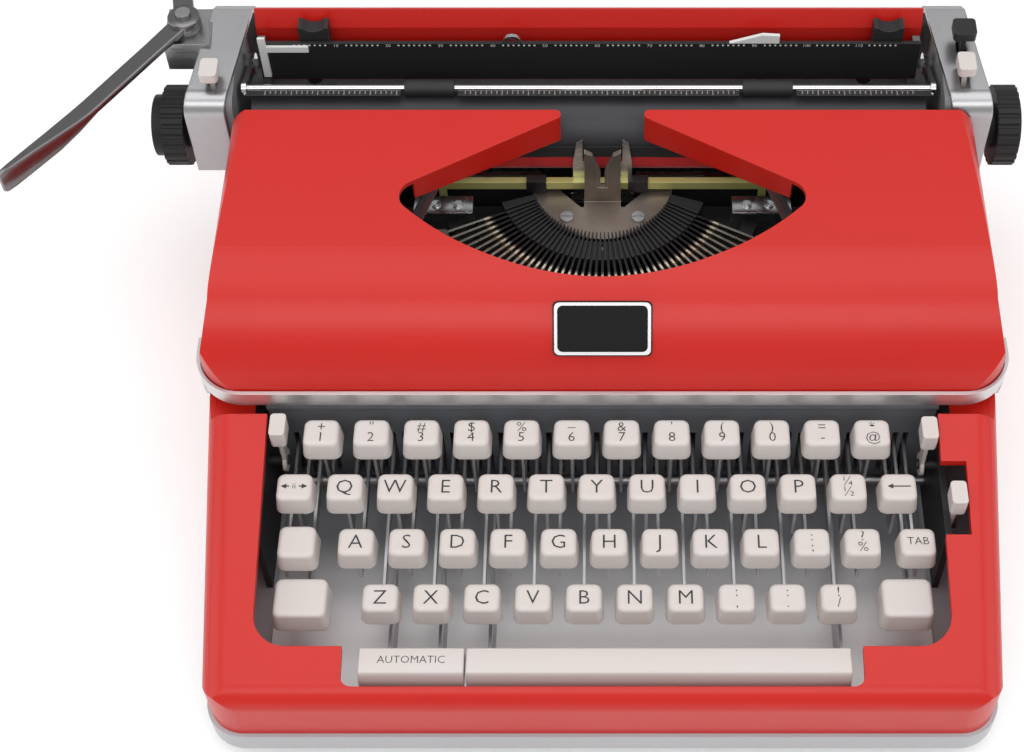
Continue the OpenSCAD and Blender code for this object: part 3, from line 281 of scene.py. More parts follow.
HOLLOW_STEPS = ((0.0038, 0.00006), (0.0052, 0.00010))
HOLLOW_CORNER = 0.0011
LETTER_SIZE = 0.0085
LETTER_DROP = 0.0004
PAIR_SIZE = 0.0060
PAIR_RISE = 0.0021
PAIR_DROP = 0.0025
LEGEND_THIN = 0.009


def row_y(row):
    """Middle of a row of keys, counted from the figures down."""
    return FIRST_ROW_Y - ROW_STEP * row


def row_top(row):
    """Height of a row's cap tops."""
    return FIRST_ROW_TOP - ROW_FALL * row


def arc(middle, radius, start, end, steps):
    """Points round an arc between two angles in degrees."""
    turns = [math.radians(start + (end - start) * k / steps) for k in range(steps + 1)]
    return [Vector((middle[0] + radius * math.cos(t), middle[1] + radius * math.sin(t))) for t in turns]


def rounded_ring(bm, half_x, half_y, radius, centre, z, steps=5):
    """A ring of vertices round a rectangle with rounded corners."""
    outline = []
    for corner, (sx, sy) in enumerate(((1, 1), (-1, 1), (-1, -1), (1, -1))):
        middle = (centre[0] + sx * (half_x - radius), centre[1] + sy * (half_y - radius))
        outline += arc(middle, radius, 90 * corner, 90 * corner + 90, steps)
    return [bm.verts.new((x, y, z)) for x, y in outline]


def bridge(bm, lower, upper, slot=0):
    """Faces all round between two rings of vertices."""
    for i in range(len(lower)):
        face = bm.faces.new((lower[i - 1], lower[i], upper[i], upper[i - 1]))
        face.material_index = slot


def loft(bm, rings, slot=0):
    """Solid through a run of rings, closed by a face at each end."""
    for lower, upper in zip(rings, rings[1:]):
        bridge(bm, lower, upper, slot)
    for end in (list(reversed(rings[0])), rings[-1]):
        bm.faces.new(end).material_index = slot


def key_cap(bm, centre, top, size):
    """Moulded cap standing on its foot outline, with a rounded upper edge and a slightly hollow top."""
    half_x = size[0] / 2
    half_y = size[1] / 2
    rings = [rounded_ring(bm, half_x, half_y, CAP_CORNER, centre, top - size[2])]
    for step in range(CAP_EDGE_STEPS + 1):
        angle = math.radians(90 * step / CAP_EDGE_STEPS)
        inset = CAP_DRAFT + CAP_EDGE * (1 - math.cos(angle))
        rings.append(rounded_ring(bm, half_x - inset, half_y - inset, CAP_CORNER - inset * 0.6, centre,
                                  top - CAP_EDGE * (1 - math.sin(angle))))
    for inset, sink in HOLLOW_STEPS:
        rings.append(rounded_ring(bm, half_x - inset, half_y - inset, HOLLOW_CORNER, centre, top - sink))
    loft(bm, rings)


def piece(name, bm, body, finishes, replaced=(), sharp=35):
    """Turn a finished mesh into a piece that rides a body and wears the given finishes."""
    mesh = bpy.data.meshes.new(name)
    bmesh.ops.recalc_face_normals(bm, faces=bm.faces)
    bm.to_mesh(mesh)
    bm.free()
    mesh.shade_smooth()
    mesh.set_sharp_from_angle(angle=math.radians(sharp))
    for finish in finishes:
        mesh.materials.append(finish.material)
    made = bpy.data.objects.new(name, mesh)
    scene.collection.objects.link(made)
    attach(made, body)
    if replaced:
        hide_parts(*replaced)
    return made


def cream_plastic(name, colour):
    """Moulded cream plastic, a little yellowed, with a fine mould skin and handling shine."""
    plastic = Finish(name, Specular_IOR_Level=0.45)
    age = plastic.noise(26.0, 3.0)
    aged = (colour[0] * 0.97, colour[1] * 0.945, colour[2] * 0.9)
    rub = plastic.noise(140.0, 3.0)
    plastic.feed(Base_Color=plastic.mix(age, rgba(*colour), rgba(*aged)),
                 Roughness=0.36 + (rub - 0.5) * 0.18)
    plastic.relief(plastic.noise(1300.0, 2.0), 0.05, 0.0001)
    return plastic


def printing_ink(name, thick, thin, grain, roughness):
    """Printed ink, worn from its thick to its thin colour in specks."""
    ink = Finish(name, Specular_IOR_Level=0.3)
    wear = ink.noise(grain, 3.0)
    ink.feed(Base_Color=ink.mix(wear, rgba(*thick), rgba(*thin)), Roughness=roughness + wear * 0.1)
    ink.relief(wear, 0.05, 0.00005, radius=0.00002)
    return ink


def printed(bm, signs):
    """Add printed signs to a mesh; each sign is text, centre, height above the desk and size."""
    texts = []
    for sign, centre, z, size in signs:
        curve = bpy.data.curves.new("sign", "FONT")
        curve.body = sign
        curve.size = size
        curve.align_x = "CENTER"
        curve.align_y = "CENTER"
        curve.resolution_u = 2
        curve.offset = -size * LEGEND_THIN
        text = bpy.data.objects.new("sign", curve)
        text.location = (centre[0], centre[1], z)
        scene.collection.objects.link(text)
        texts.append(text)
    bpy.context.view_layer.update()
    graph = bpy.context.evaluated_depsgraph_get()
    for text in texts:
        flat = bpy.data.meshes.new_from_object(text.evaluated_get(graph))
        flat.transform(text.matrix_world)
        bm.from_mesh(flat)
        bpy.data.meshes.remove(flat)
        bpy.data.objects.remove(text)


def legend(name, body, signs, ink=None):
    """Piece of printed signs on one body, with any ink that is drawn already."""
    if ink is None:
        ink = bmesh.new()
    printed(ink, signs)
    piece(name, ink, body, [legend_ink])


key_cream = cream_plastic("key_cream", (0.645, 0.6, 0.588))
legend_ink = printing_ink("legend_ink", (0.02, 0.02, 0.022), (0.06, 0.06, 0.062), 700.0, 0.55)
lever_steel = steel("lever_steel", (0.7, 0.7, 0.71), 0.36, brush=(900.0, 60.0, 900.0))
for row, body in enumerate(ROW_BODIES):
    caps = bmesh.new()
    signs = []
    for place, sign in enumerate(ROW_SIGNS[row]):
        x = FIRST_KEY_X + (ROW_SHIFT[row] + place) * PITCH
        y = row_y(row)
        top = row_top(row)
        key_cap(caps, (x, y), top, CAP)
        if len(sign) == 1:
            signs.append((sign, (x, y - LETTER_DROP), top, LETTER_SIZE))
        else:
            upper, lower = sign
            signs.append((upper, (x, y + PAIR_RISE), top, PAIR_SIZE))
            signs.append((lower, (x, y - PAIR_DROP), top, PAIR_SIZE))
    piece(body + "_caps", caps, body, [key_cream], [body + "_keys"])
    legend(body + "_signs", body, signs)
    dress(lever_steel, body + "_levers")

# Function keys: margin release, backspace, shift lock and tabulator in the cream of the other caps, each with
# its own steel lever. A rod joins the two wide shift keys, so that they move as one.
LEVER_T = 0.0012
LEVER_FOOT = 0.027
LEVER_TOP = 0.032
STEM_HALF = 0.0025
STEM_IN_CAP = 0.001
FULCRUM = Vector((0.066, 0.034))
BOSS_R = 0.0055
MARGIN_X = -0.116525
BACKSPACE_X = 0.112075
TAB_CAP_X = 0.118575
RIGHT_SHIFT_X = 0.116075
TIE_ARM = ((0.047, 0.0165), (0.053, 0.0165), (0.053, 0.033), (0.047, 0.033))
TIE_ROD = (0.050, 0.020)
TIE_ROD_R = 0.002
SHIFT_DEPTH = 0.018
SHIFT_H = 0.010


def slab(bm, outline, x, thickness, slot):
    """Flat plate drawn in y and z, with its thickness along x."""
    sides = []
    for face_x in (x - thickness / 2, x + thickness / 2):
        sides.append([bm.verts.new((face_x, y, z)) for y, z in outline])
    loft(bm, sides, slot)


def round_bar(bm, start, end, radius, slot=0, sides=20):
    """Round bar between two points."""
    axis = (Vector(end) - Vector(start)).normalized()
    across = axis.orthogonal().normalized()
    up = axis.cross(across)
    circle = arc((0, 0), radius, 0, 360, sides)[:-1]
    loft(bm, [[bm.verts.new(Vector(point) + p.x * across + p.y * up) for p in circle]
              for point in (start, end)], slot)


def key_lever(bm, x, y, top, slot=1):
    """Lever from the fulcrum boss forward to the stem under a cap."""
    boss = arc(FULCRUM, BOSS_R, 120, -120, 10)
    front = y - STEM_HALF
    back = y + STEM_HALF
    slab(bm, boss + [(front, LEVER_FOOT), (front, top), (back, top), (back, LEVER_TOP)], x, LEVER_T, slot)


FUNCTION_KEYS = (
    # node, body, lever x, cap x, row, cap size
    ("margin_release_key", "margin_release", MARGIN_X, MARGIN_X, 1, CAP),
    ("backspace_key", "backspace", BACKSPACE_X, BACKSPACE_X, 1, CAP),
    ("shift_lock_key", "shift_lock", -0.121325, -0.115, 2, CAP + Vector((0.0006, 0.002, 0))),
    ("tab_key", "tab", 0.120075, TAB_CAP_X, 2, CAP),
    ("left_shift_key", "shift", -0.1117625, -0.113, 3, Vector((0.0215, SHIFT_DEPTH, SHIFT_H))),
    ("right_shift_key", "shift", RIGHT_SHIFT_X, 0.114, 3, Vector((0.0205, SHIFT_DEPTH, SHIFT_H))),
)
for name, body, lever_x, cap_x, row, size in FUNCTION_KEYS:
    key = bmesh.new()
    key_cap(key, (cap_x, row_y(row)), row_top(row), size)
    key_lever(key, lever_x, row_y(row), row_top(row) - size[2] + STEM_IN_CAP)
    if body == "shift":
        slab(key, TIE_ARM, lever_x, LEVER_T, 1)
    if name == "left_shift_key":
        round_bar(key, (lever_x, *TIE_ROD), (RIGHT_SHIFT_X - LEVER_T / 2, *TIE_ROD), TIE_ROD_R, slot=1)
    piece(name + "_cap", key, body, [key_cream, lever_steel], [name])


ARROW_STROKE = 0.0005
ARROW_HEAD = 0.0022
MARGIN_ARROW = (0.0018, 0.0051)
MARGIN_BARS = 0.0036
BACKSPACE_ARROW = (0.1165, 0.1076)
TAB_SIZE = 0.0046


def arrow(bm, tail, head, y, z):
    """Printed arrow along x."""
    neck = head - math.copysign(ARROW_HEAD, head - tail)
    low = y - ARROW_STROKE / 2
    high = y + ARROW_STROKE / 2
    for outline in (((tail, low), (neck, low), (neck, high), (tail, high)),
                    ((neck, y - ARROW_HEAD / 2), (head, y), (neck, y + ARROW_HEAD / 2))):
        bm.faces.new([bm.verts.new((px, py, z)) for px, py in outline])


margin_ink = bmesh.new()
for way in (-1, 1):
    tail, head = (MARGIN_X + way * reach for reach in MARGIN_ARROW)
    arrow(margin_ink, tail, head, row_y(1), row_top(1))
margin_bars = [("ii", (MARGIN_X, row_y(1)), row_top(1), MARGIN_BARS)]
legend("margin_release_sign", "margin_release", margin_bars, margin_ink)
backspace_ink = bmesh.new()
arrow(backspace_ink, *BACKSPACE_ARROW, row_y(1), row_top(1))
legend("backspace_sign", "backspace", [], backspace_ink)
legend("tab_sign", "tab", [("TAB", (TAB_CAP_X, row_y(2)), row_top(2), TAB_SIZE)])

# Space bar and the shorter automatic spacer beside it: cream mouldings with a sloping front edge, each on
# two flat arms that turn on the front rod.
BAR_PROFILE = ((-0.132, 0.0345), (-0.1297, 0.0428), (-0.1289, 0.0439), (-0.1192, 0.0439), (-0.118, 0.0345))
BAR_EDGE = 0.0007
BAR_ARM = ((-0.030, 0.0116), (-0.0256, 0.016), (-0.030, 0.0204), (-0.080, 0.021), (-0.122, 0.021),
           (-0.122, 0.037), (-0.128, 0.037), (-0.128, 0.016))
SPACING_BARS = (
    # node, body, ends, arms
    ("space_bar", "space", (-0.0497, 0.0908), (-0.0427, 0.0906)),
    ("automatic_key", "automatic", (-0.089, -0.0505), (-0.0808, -0.0618)),
)
AUTOMATIC_AT = (-0.0697, -0.1241)
AUTOMATIC_Z = 0.04393
AUTOMATIC_SIZE = 0.0043


def soften(bm, width, steps):
    """Round every edge that the mesh has so far."""
    bmesh.ops.bevel(bm, geom=bm.edges[:], offset=width, segments=steps, affect="EDGES", profile=0.5)


for name, body, ends, arms in SPACING_BARS:
    bar = bmesh.new()
    slab(bar, BAR_PROFILE, sum(ends) / 2, ends[1] - ends[0], 0)
    soften(bar, BAR_EDGE, 3)
    for x in arms:
        slab(bar, BAR_ARM, x, LEVER_T, 1)
    piece(name + "_moulding", bar, body, [key_cream, lever_steel], [name])
legend("automatic_sign", "automatic", [("AUTOMATIC", AUTOMATIC_AT, AUTOMATIC_Z, AUTOMATIC_SIZE)])

# Side levers: the ribbon and touch selectors at the two ends of the figure row, and the tabulator setting
# lever in the notch to the right of the keys. Each is a flat arm with a button in the cream of the keys.
dress(key_cream, "ribbon_selector", "touch_selector", "tab_set_lever")

# Ribbon cover: one red enamelled pressing over the type basket, with an eye-shaped opening, a bright strip
# along its lower edge and a blank black badge in a silver rim on its nose. It lifts about its front edge.
NOSE_AXIS = (0, 0.018, 0.066)
BADGE_TILT = 45
BADGE_RISE = 0.0474
RIM_OUTER = (0.0181, 0.00995)
RIM_INNER = (0.0169, 0.00875)
RIM_CORNER = 0.002
RIM_H = 0.0003


def closed_loft(bm, rings):
    """Solid ring through a run of rings, of which the last joins the first."""
    for lower, upper in zip(rings, rings[1:] + rings[:1]):
        bridge(bm, lower, upper)


dress(red_enamel, "ribbon_cover")
dress(steel("trim_satin", (0.72, 0.72, 0.73), 0.42, brush=(30.0, 700.0, 700.0), tarnish=0.85), "cover_trim")
dress(painted("badge_black", (0.008, 0.008, 0.009), (0.08, 0.08, 0.08), 0.42, specular=0.12), "badge_plate")
badge_rim = bmesh.new()
rim_steps = ((RIM_OUTER, 0.0), (RIM_OUTER, RIM_H), (RIM_INNER, RIM_H), (RIM_INNER, 0.0))
closed_loft(badge_rim, [rounded_ring(badge_rim, *half, RIM_CORNER, (0, 0), z) for half, z in rim_steps])
badge_tilt = Matrix.Rotation(math.radians(BADGE_TILT), 4, "X")
badge_seat = Matrix.Translation(NOSE_AXIS) @ badge_tilt @ Matrix.Translation((0, 0, BADGE_RISE))
bmesh.ops.transform(badge_rim, matrix=badge_seat, verts=badge_rim.verts[:])
badge_silver = steel("badge_silver", (0.68, 0.68, 0.69), 0.3, tarnish=0.85)
piece("badge_rim", badge_rim, "cover", [badge_silver])

# Wing noses: the cover's turned-down flange runs on round the two rounded wing ends beside the type guide,
# in one piece with the pressing and in the same enamel.
SIDES = (("left", -1), ("right", 1))
WING_END = Vector((0.0186, 0.0748))
WING_R = 0.00215
WING_TURN = 151.8
EDGE_WAY = Vector((0.8816, -0.4721))
EDGE_IN = Vector((-0.4721, -0.8816))
FLANGE_RUN = 0.003
FLANGE_T = 0.0014
NOSE_Z = (0.1055, 0.1178)
for side, way in SIDES:
    nose = bmesh.new()
    outline = arc(WING_END, WING_R, 90, 90 + WING_TURN, 14)
    flange_end = outline[-1] + FLANGE_RUN * EDGE_WAY
    outline += [flange_end, flange_end - FLANGE_T * EDGE_IN]
    loft(nose, [[nose.verts.new((way * q.x, q.y, z)) for q in outline] for z in NOSE_Z])
    piece(side + "_wing_nose", nose, "cover", [red_enamel])

# Type basket: a black slotted segment holds the 44 type bars, whose bright slugs fan out in front of it.
# The bars are blackened steel, and a narrow bright band at the slugs' heels is a painted highlight.
FAN_CENTRE = (0.0, 0.076, 0.077)
SLUG_FROM = 0.0485
SLUG_TO = 0.0505
HIGHLIGHT_AT = 0.0512
HIGHLIGHT_REACH = 0.0012
dress(painted("segment_black", (0.018, 0.018, 0.02), (0.12, 0.12, 0.12), 0.38), "segment")
type_nickel = Finish("type_nickel", Metallic=1.0)
fan_place = type_nickel.node("ShaderNodeVectorMath", {"operation": "SUBTRACT"},
                             {0: type_nickel.place(), 1: FAN_CENTRE})
from_fan = type_nickel.node("ShaderNodeVectorMath", {"operation": "LENGTH"}, {0: fan_place}, out="Value")
bloom = type_nickel.noise(300.0, 3.0)
slug = type_nickel.mix(bloom, rgba(0.3, 0.28, 0.23), rgba(0.55, 0.53, 0.48))
# Painted highlight: a narrow pale gold band across the slugs at their heels.
slug = type_nickel.mix(from_fan.near(HIGHLIGHT_AT, HIGHLIGHT_REACH), slug, rgba(0.95, 0.88, 0.66))
plated = type_nickel.rise(from_fan, SLUG_FROM, SLUG_TO)
type_nickel.feed(Base_Color=type_nickel.mix(plated, rgba(0.05, 0.05, 0.05), slug),
                 Roughness=0.2 + bloom * 0.2)
type_nickel.relief(bloom, 0.05, 0.00005, radius=0.0002)
dress(type_nickel, "typebars", "striking_typebar")

# Type guide: a stained nickel half disc with a notched post, screwed to the segment. Two jaws in the post's
# slot leave a narrow slit, through which the striking bar reaches the ribbon.
JAW_IN = 0.00085
JAW_OUT = 0.00215
JAW_OUTLINE = ((JAW_IN, 0.0839), (JAW_OUT, 0.0839), (JAW_OUT, 0.0971), (JAW_IN, 0.0936))
JAW_Y = (0.0672, 0.0688)
stained = Finish("stained_nickel", Metallic=0.75)
stain = stained.noise(75.0, 6.0)
blotch = stained.noise(210.0, 4.0)
brown = stained.mix(stain, rgba(0.13, 0.095, 0.075), rgba(0.36, 0.31, 0.27))
worn_edge = stained.edges(0.0004)
stained.feed(Base_Color=stained.mix(worn_edge * 0.7, brown, rgba(0.75, 0.72, 0.66)),
             Roughness=0.42 + (blotch - 0.5) * 0.3)
stained.relief(blotch, 0.1, 0.0001, radius=0.0003)
dress(stained, "type_guide")
guide_jaws = bmesh.new()
for way in (-1, 1):
    loft(guide_jaws, [[guide_jaws.verts.new((way * x, y, z)) for x, z in JAW_OUTLINE] for y in JAW_Y])
piece("guide_jaws", guide_jaws, "chassis", [stained])

# Guide rail and vibrator: a yellow zinc-plated bar with two black clips across the basket, and the nickelled
# fork behind it that lifts the ribbon for each stroke.
CLIP_X = (-0.027, 0.0145)
CLIP_HALF = 0.00401
yellow_zinc = Finish("yellow_zinc")
clip = sum(yellow_zinc.along("X").near(x, CLIP_HALF) for x in CLIP_X)
passivate = yellow_zinc.noise(60.0, 4.0)
zinc = yellow_zinc.mix(passivate, rgba(0.55, 0.5, 0.14), rgba(0.72, 0.72, 0.32))
yellow_zinc.feed(Base_Color=yellow_zinc.mix(clip, zinc, rgba(0.012, 0.012, 0.013)),
                 Metallic=(1.0 - clip) * 0.45, Roughness=0.36 + passivate * 0.1)
yellow_zinc.relief(passivate, 0.06, 0.0001)
dress(yellow_zinc, "guide_rail")
dress(steel("vibrator_nickel", (0.66, 0.65, 0.63), 0.3, tarnish=0.75), "ribbon_vibrator")

# Corner ledges: the lower shell's inner lip in the same red enamel, seen under the cover's front corners
# where the trim curves back. It closes the shell behind the deck's rear edge.
LEDGE_OUTLINE = ((-0.0338, 0.0618), (-0.0100, 0.0618), (-0.0100, 0.0634), (-0.0338, 0.0634))
LEDGE_X = 0.1414
LEDGE_W = 0.0152
for side, way in SIDES:
    ledge = bmesh.new()
    slab(ledge, LEDGE_OUTLINE, way * LEDGE_X, LEDGE_W, 0)
    piece(side + "_corner_ledge", ledge, "chassis", [red_enamel])

# Basket brackets: a folded zinc-plated plate on either side of the type bars, held to the chassis deck by
# two pan-head screws, where the basket's side springs are hooked.
BRACKET_X = 0.0645
BRACKET_W = 0.024
BRACKET_EDGE = 0.0003
SCREW_X = (0.0585, 0.0675)
SCREW_Y = 0.0612
SCREW_STEPS = ((0.0800, 0.0811, 0.0019), (0.0811, 0.0815, 0.0013))
BRACKET_FOLD = ((0.0570, 0.0790), (0.0648, 0.0790), (0.0648, 0.0640), (0.0660, 0.0640), (0.0660, 0.0802),
                (0.0570, 0.0802))
bracket_zinc = steel("bracket_zinc", (0.7, 0.7, 0.71), 0.24, brush=(300.0, 60.0, 300.0), tarnish=0.7)
for side, way in SIDES:
    bracket = bmesh.new()
    slab(bracket, BRACKET_FOLD, way * BRACKET_X, BRACKET_W, 0)
    soften(bracket, BRACKET_EDGE, 2)
    for x in SCREW_X:
        for foot, head, radius in SCREW_STEPS:
            round_bar(bracket, (way * x, SCREW_Y, foot), (way * x, SCREW_Y, head), radius)
    piece(side + "_basket_bracket", bracket, "chassis", [bracket_zinc])

# Ribbon: a 13 mm inked cloth strip, red below and black above, drawn off one spool, past the print point
# and onto the other. Towards the spools its ink is spent and dirty.
RIBBON_Z = (0.0842, 0.0972)
RIBBON_SPLIT = 0.0907
RIBBON_T = 0.00012
RIBBON_Y = 0.07765
RIBBON_TURN = 0.0625
SPOOL = Vector((0.095, 0.025))
PACK_R = 0.0137
RIBBON_ROWS = 8
RUN_STEPS = 16
FACE_STEPS = 24
SLACK = 0.00006
SLACK_WAVE = 0.9
RAGGED_EDGE = 0.0006
SPENT_FROM = 0.045
SPENT_TO = 0.063
reach = SPOOL - Vector((RIBBON_TURN, RIBBON_Y))
run = math.sqrt(reach.length ** 2 - PACK_R ** 2)
lean = math.atan2(-reach.y, reach.x) + math.asin(PACK_R / reach.length)
spool_end = Vector((RIBBON_TURN + run * math.cos(lean), RIBBON_Y - run * math.sin(lean)))
half_path = [spool_end.lerp(Vector((RIBBON_TURN, RIBBON_Y)), k / RUN_STEPS) for k in range(RUN_STEPS)]
half_path += [Vector((RIBBON_TURN * (1 - k / FACE_STEPS), RIBBON_Y)) for k in range(FACE_STEPS)]
path = half_path + [Vector((0.0, RIBBON_Y))] + [Vector((-p.x, p.y)) for p in reversed(half_path)]
cloth = bmesh.new()
columns = []
for i, point in enumerate(path):
    ahead = (path[min(i + 1, len(path) - 1)] - path[max(i - 1, 0)]).normalized()
    side = Vector((-ahead.y, ahead.x))
    slack = SLACK * math.sin(i * SLACK_WAVE)
    column = []
    for k in range(RIBBON_ROWS + 1):
        level = k / RIBBON_ROWS
        bow = slack * math.sin(math.pi * level)
        column.append(cloth.verts.new((point.x + side.x * bow, point.y + side.y * bow,
                                       RIBBON_Z[0] + (RIBBON_Z[1] - RIBBON_Z[0]) * level)))
    columns.append(column)
for left, right in zip(columns, columns[1:]):
    for k in range(RIBBON_ROWS):
        cloth.faces.new((left[k], right[k], right[k + 1], left[k + 1]))
ribbon_cloth = Finish("ribbon_cloth", Sheen_Weight=0.15)
ink_spread = ribbon_cloth.noise(160.0, 4.0)
ragged_height = ribbon_cloth.along("Z") + (ink_spread - 0.5) * RAGGED_EDGE
upper_half = ragged_height.math("GREATER_THAN", RIBBON_SPLIT)
from_middle = ribbon_cloth.along("X").math("ABSOLUTE", 0.0)
spent = ribbon_cloth.rise(from_middle, SPENT_FROM, SPENT_TO, most=0.85)
red_ink = ribbon_cloth.mix(ink_spread, rgba(0.52, 0.012, 0.018), rgba(0.68, 0.02, 0.024))
inked_cloth = ribbon_cloth.mix(upper_half, red_ink, rgba(0.014, 0.013, 0.014))
ribbon_cloth.feed(Base_Color=ribbon_cloth.mix(spent, inked_cloth, rgba(0.014, 0.008, 0.009)),
                  Roughness=0.7 + ink_spread * 0.1)
weave = ribbon_cloth.node("ShaderNodeTexWave", {"wave_type": "BANDS", "bands_direction": "Z"},
                          {"Vector": ribbon_cloth.place(), "Scale": 900.0, "Distortion": 0.4})
ribbon_cloth.relief(weave, 0.15, 0.00005, radius=0.00002)
ribbon = piece("ribbon_strip", cloth, "chassis", [ribbon_cloth], ["ribbon"])
thicken = ribbon.modifiers.new("cloth", "SOLIDIFY")
thicken.thickness = RIBBON_T
thicken.offset = 0.0
ribbon_length = sum((b - a).length for a, b in zip(path, path[1:]))

# Spools: two tin flanges on a hub with the wound ribbon between them, which shows as black and dark red
# turns. They stand on posts on either side of the basket and turn as the ribbon runs.
PACK_MIDDLE = 0.09085
PACK_HALF = 0.00711
spool_tin = Finish("spool_tin")
in_pack = spool_tin.along("Z").near(PACK_MIDDLE, PACK_HALF)
windings = spool_tin.node("ShaderNodeTexWave", {"wave_type": "BANDS", "bands_direction": "Z"},
                          {"Vector": spool_tin.place(), "Scale": 240.0, "Distortion": 1.5})
tin_dull = spool_tin.noise(80.0, 4.0)
tin = spool_tin.mix(tin_dull, rgba(0.35, 0.35, 0.36), rgba(0.6, 0.6, 0.6))
inked = spool_tin.mix(windings, rgba(0.012, 0.012, 0.013), rgba(0.04, 0.03, 0.03))
spool_tin.feed(Base_Color=spool_tin.mix(in_pack, tin, inked), Metallic=1.0 - in_pack,
               Roughness=0.35 + in_pack * 0.4)
spool_tin.relief(windings * in_pack, 0.3, 0.0001)
dress(spool_tin, "left_spool", "right_spool")

# Carriage: a black-painted steel truck that runs on the two rails, and a grey-painted frame on it between the
# end covers. The return lever's bare steel stud stands out of the frame on the left.
STUD_FACES_X = -0.1605


def dress_faces(name, finishes, chosen):
    """Give a node several finishes; chosen says which of them a face wears, from its middle."""
    mesh = nodes[name].data
    mesh.materials.clear()
    for finish in finishes:
        mesh.materials.append(finish.material)
    for face in mesh.polygons:
        face.material_index = chosen(face.center)


dress(black_enamel, "carriage_truck")
carriage_grey = painted("carriage_grey", (0.2, 0.2, 0.21), (0.45, 0.45, 0.46), 0.42)
stud_steel = steel("stud_steel", (0.5, 0.5, 0.51), 0.3, tarnish=0.75)
dress_faces("carriage_frame", (carriage_grey, stud_steel), lambda middle: int(middle.x < STUD_FACES_X))

# Carriage drive: the mainspring's drum, which pulls the carriage to the left, and the escapement wheel, which
# lets it go one space at a time. Both are turned brass.
dress(steel("drum_brass", (0.62, 0.46, 0.2), 0.35, tarnish=0.7), "mainspring_drum", "escapement_wheel")

# End covers: folded sheet in a silver paint full of fine metal flakes, rubbed bright along the edges. They
# close the two ends of the carriage.
silver_paint = Finish("silver_paint", Metallic=0.9)
flake = silver_paint.noise(2400.0, 2.0)
cloud = silver_paint.noise(22.0, 3.0)
silver_base = silver_paint.mix(cloud, rgba(0.37, 0.37, 0.38), rgba(0.45, 0.45, 0.46))
silver_wear = silver_paint.edges(RUBBED_EDGE) * 0.5
silver_paint.feed(Base_Color=silver_paint.mix(silver_wear, silver_base, rgba(0.75, 0.75, 0.76)),
                  Roughness=0.27 + (cloud - 0.5) * 0.1)
silver_paint.relief(flake, 0.08, 0.0001, radius=0.0008)
dress(silver_paint, "left_end_cover", "right_end_cover")

# Paper table, platen and knobs: a red enamelled sheet that the paper leans on, and the hard black rubber
# roller that it is printed on, with a ribbed black plastic knob at each end.
dress(red_enamel, "paper_table")
dress(rubbery("platen_rubber", (0.034, 0.033, 0.037), 0.45), "platen")
dress(rubbery("knob_plastic", (0.008, 0.008, 0.009), 0.5), "left_knob", "right_knob")

# Paper scale: a black painted strip in front of the paper table. A white plastic paper guide sits at its left
# end, and a white flap and a chromed arch stand on its upper edge.
CARRIAGE_X = -0.0056
SCALE_FACE_Y = 0.11299
SCALE_TOP = 0.1196
scale_black = painted("scale_black", (0.018, 0.018, 0.019), (0.1, 0.1, 0.1), 0.4)
guide_white = cream_plastic("paper_guide_white", (0.72, 0.73, 0.74))
arch_chrome = steel("arch_chrome", (0.8, 0.8, 0.8), 0.2)


def scale_finish(middle):
    """0 on the strip, 1 on the white plastic, 2 on the chrome."""
    if middle.y < SCALE_FACE_Y or (middle.z > SCALE_TOP and middle.x > CARRIAGE_X):
        return 1
    return 2 if middle.z > SCALE_TOP else 0


dress_faces("paper_scale", (scale_black, guide_white, arch_chrome), scale_finish)

# Paper scale's print: white dots and figures along the black strip, one place for every letter space of a
# twelfth of an inch, with a figure at every tenth.
SPACE = 0.0254 / 12
SCALE_PLACES = 118
SCALE_START = Vector((CARRIAGE_X - 0.1235, 0.11294, 0.1181))
SCALE_DOT = (0.0007, 0.0008)
SCALE_FIGURE = 0.0022
SCALE_FIGURE_RISE = 0.0002


def printed_bar(bm, near, far, width):
    """Printed bar of a given width along x, from one point to another."""
    side = Vector((width / 2, 0, 0))
    bm.faces.new([bm.verts.new(corner) for corner in (near - side, near + side, far + side, far - side)])


def standing_figure(bm, number, centre, size):
    """Printed number on a face that looks forward."""
    figure = bmesh.new()
    printed(figure, [(str(number), (0, 0), 0, size)])
    upright = Matrix.Translation(centre) @ Matrix.Rotation(math.radians(90), 4, "X")
    bmesh.ops.transform(figure, matrix=upright, verts=figure.verts[:])
    loose = bpy.data.meshes.new("figure")
    figure.to_mesh(loose)
    figure.free()
    bm.from_mesh(loose)
    bpy.data.meshes.remove(loose)


print_white = printing_ink("print_white", (0.6, 0.6, 0.58), (0.85, 0.85, 0.83), 500.0, 0.5)
scale_marks = bmesh.new()
for step in range(SCALE_PLACES):
    foot = SCALE_START + Vector((step * SPACE, 0, 0))
    if step % 10 not in (0, 1, 9):
        printed_bar(scale_marks, foot, foot + Vector((0, 0, SCALE_DOT[1])), SCALE_DOT[0])
for step in range(10, SCALE_PLACES, 10):
    figure_at = SCALE_START + Vector((step * SPACE, 0, SCALE_FIGURE_RISE))
    standing_figure(scale_marks, step, figure_at, SCALE_FIGURE)
piece("scale_marks", scale_marks, "carriage", [print_white])

# Paper bail: a chromed bar that presses the paper to the platen through two rubber rollers. A black strip
# along its lower front edge carries grey tick marks, one for every letter space.
BAIL = Vector((CARRIAGE_X, 0.0967, 0.1107))
STRIP_HALF = 0.137
STRIP_REAR = BAIL.y - 0.0016
STRIP_TOP = BAIL.z + 0.00045
ROLLER_X = (-0.064, 0.072)
ROLLER_ROOM = 0.013
TICKS = 124
TICK_START = BAIL + Vector((-0.130, -0.0019, 0.00042))
TICK_W = 0.00045
TICK_L = 0.0016
LONG_TICK_L = 0.0022


def bail_finish(middle):
    """1 on the black strip, 0 on the bar."""
    on_strip = middle.y < STRIP_REAR and abs(middle.x - CARRIAGE_X) < STRIP_HALF and middle.z < STRIP_TOP
    return int(on_strip)


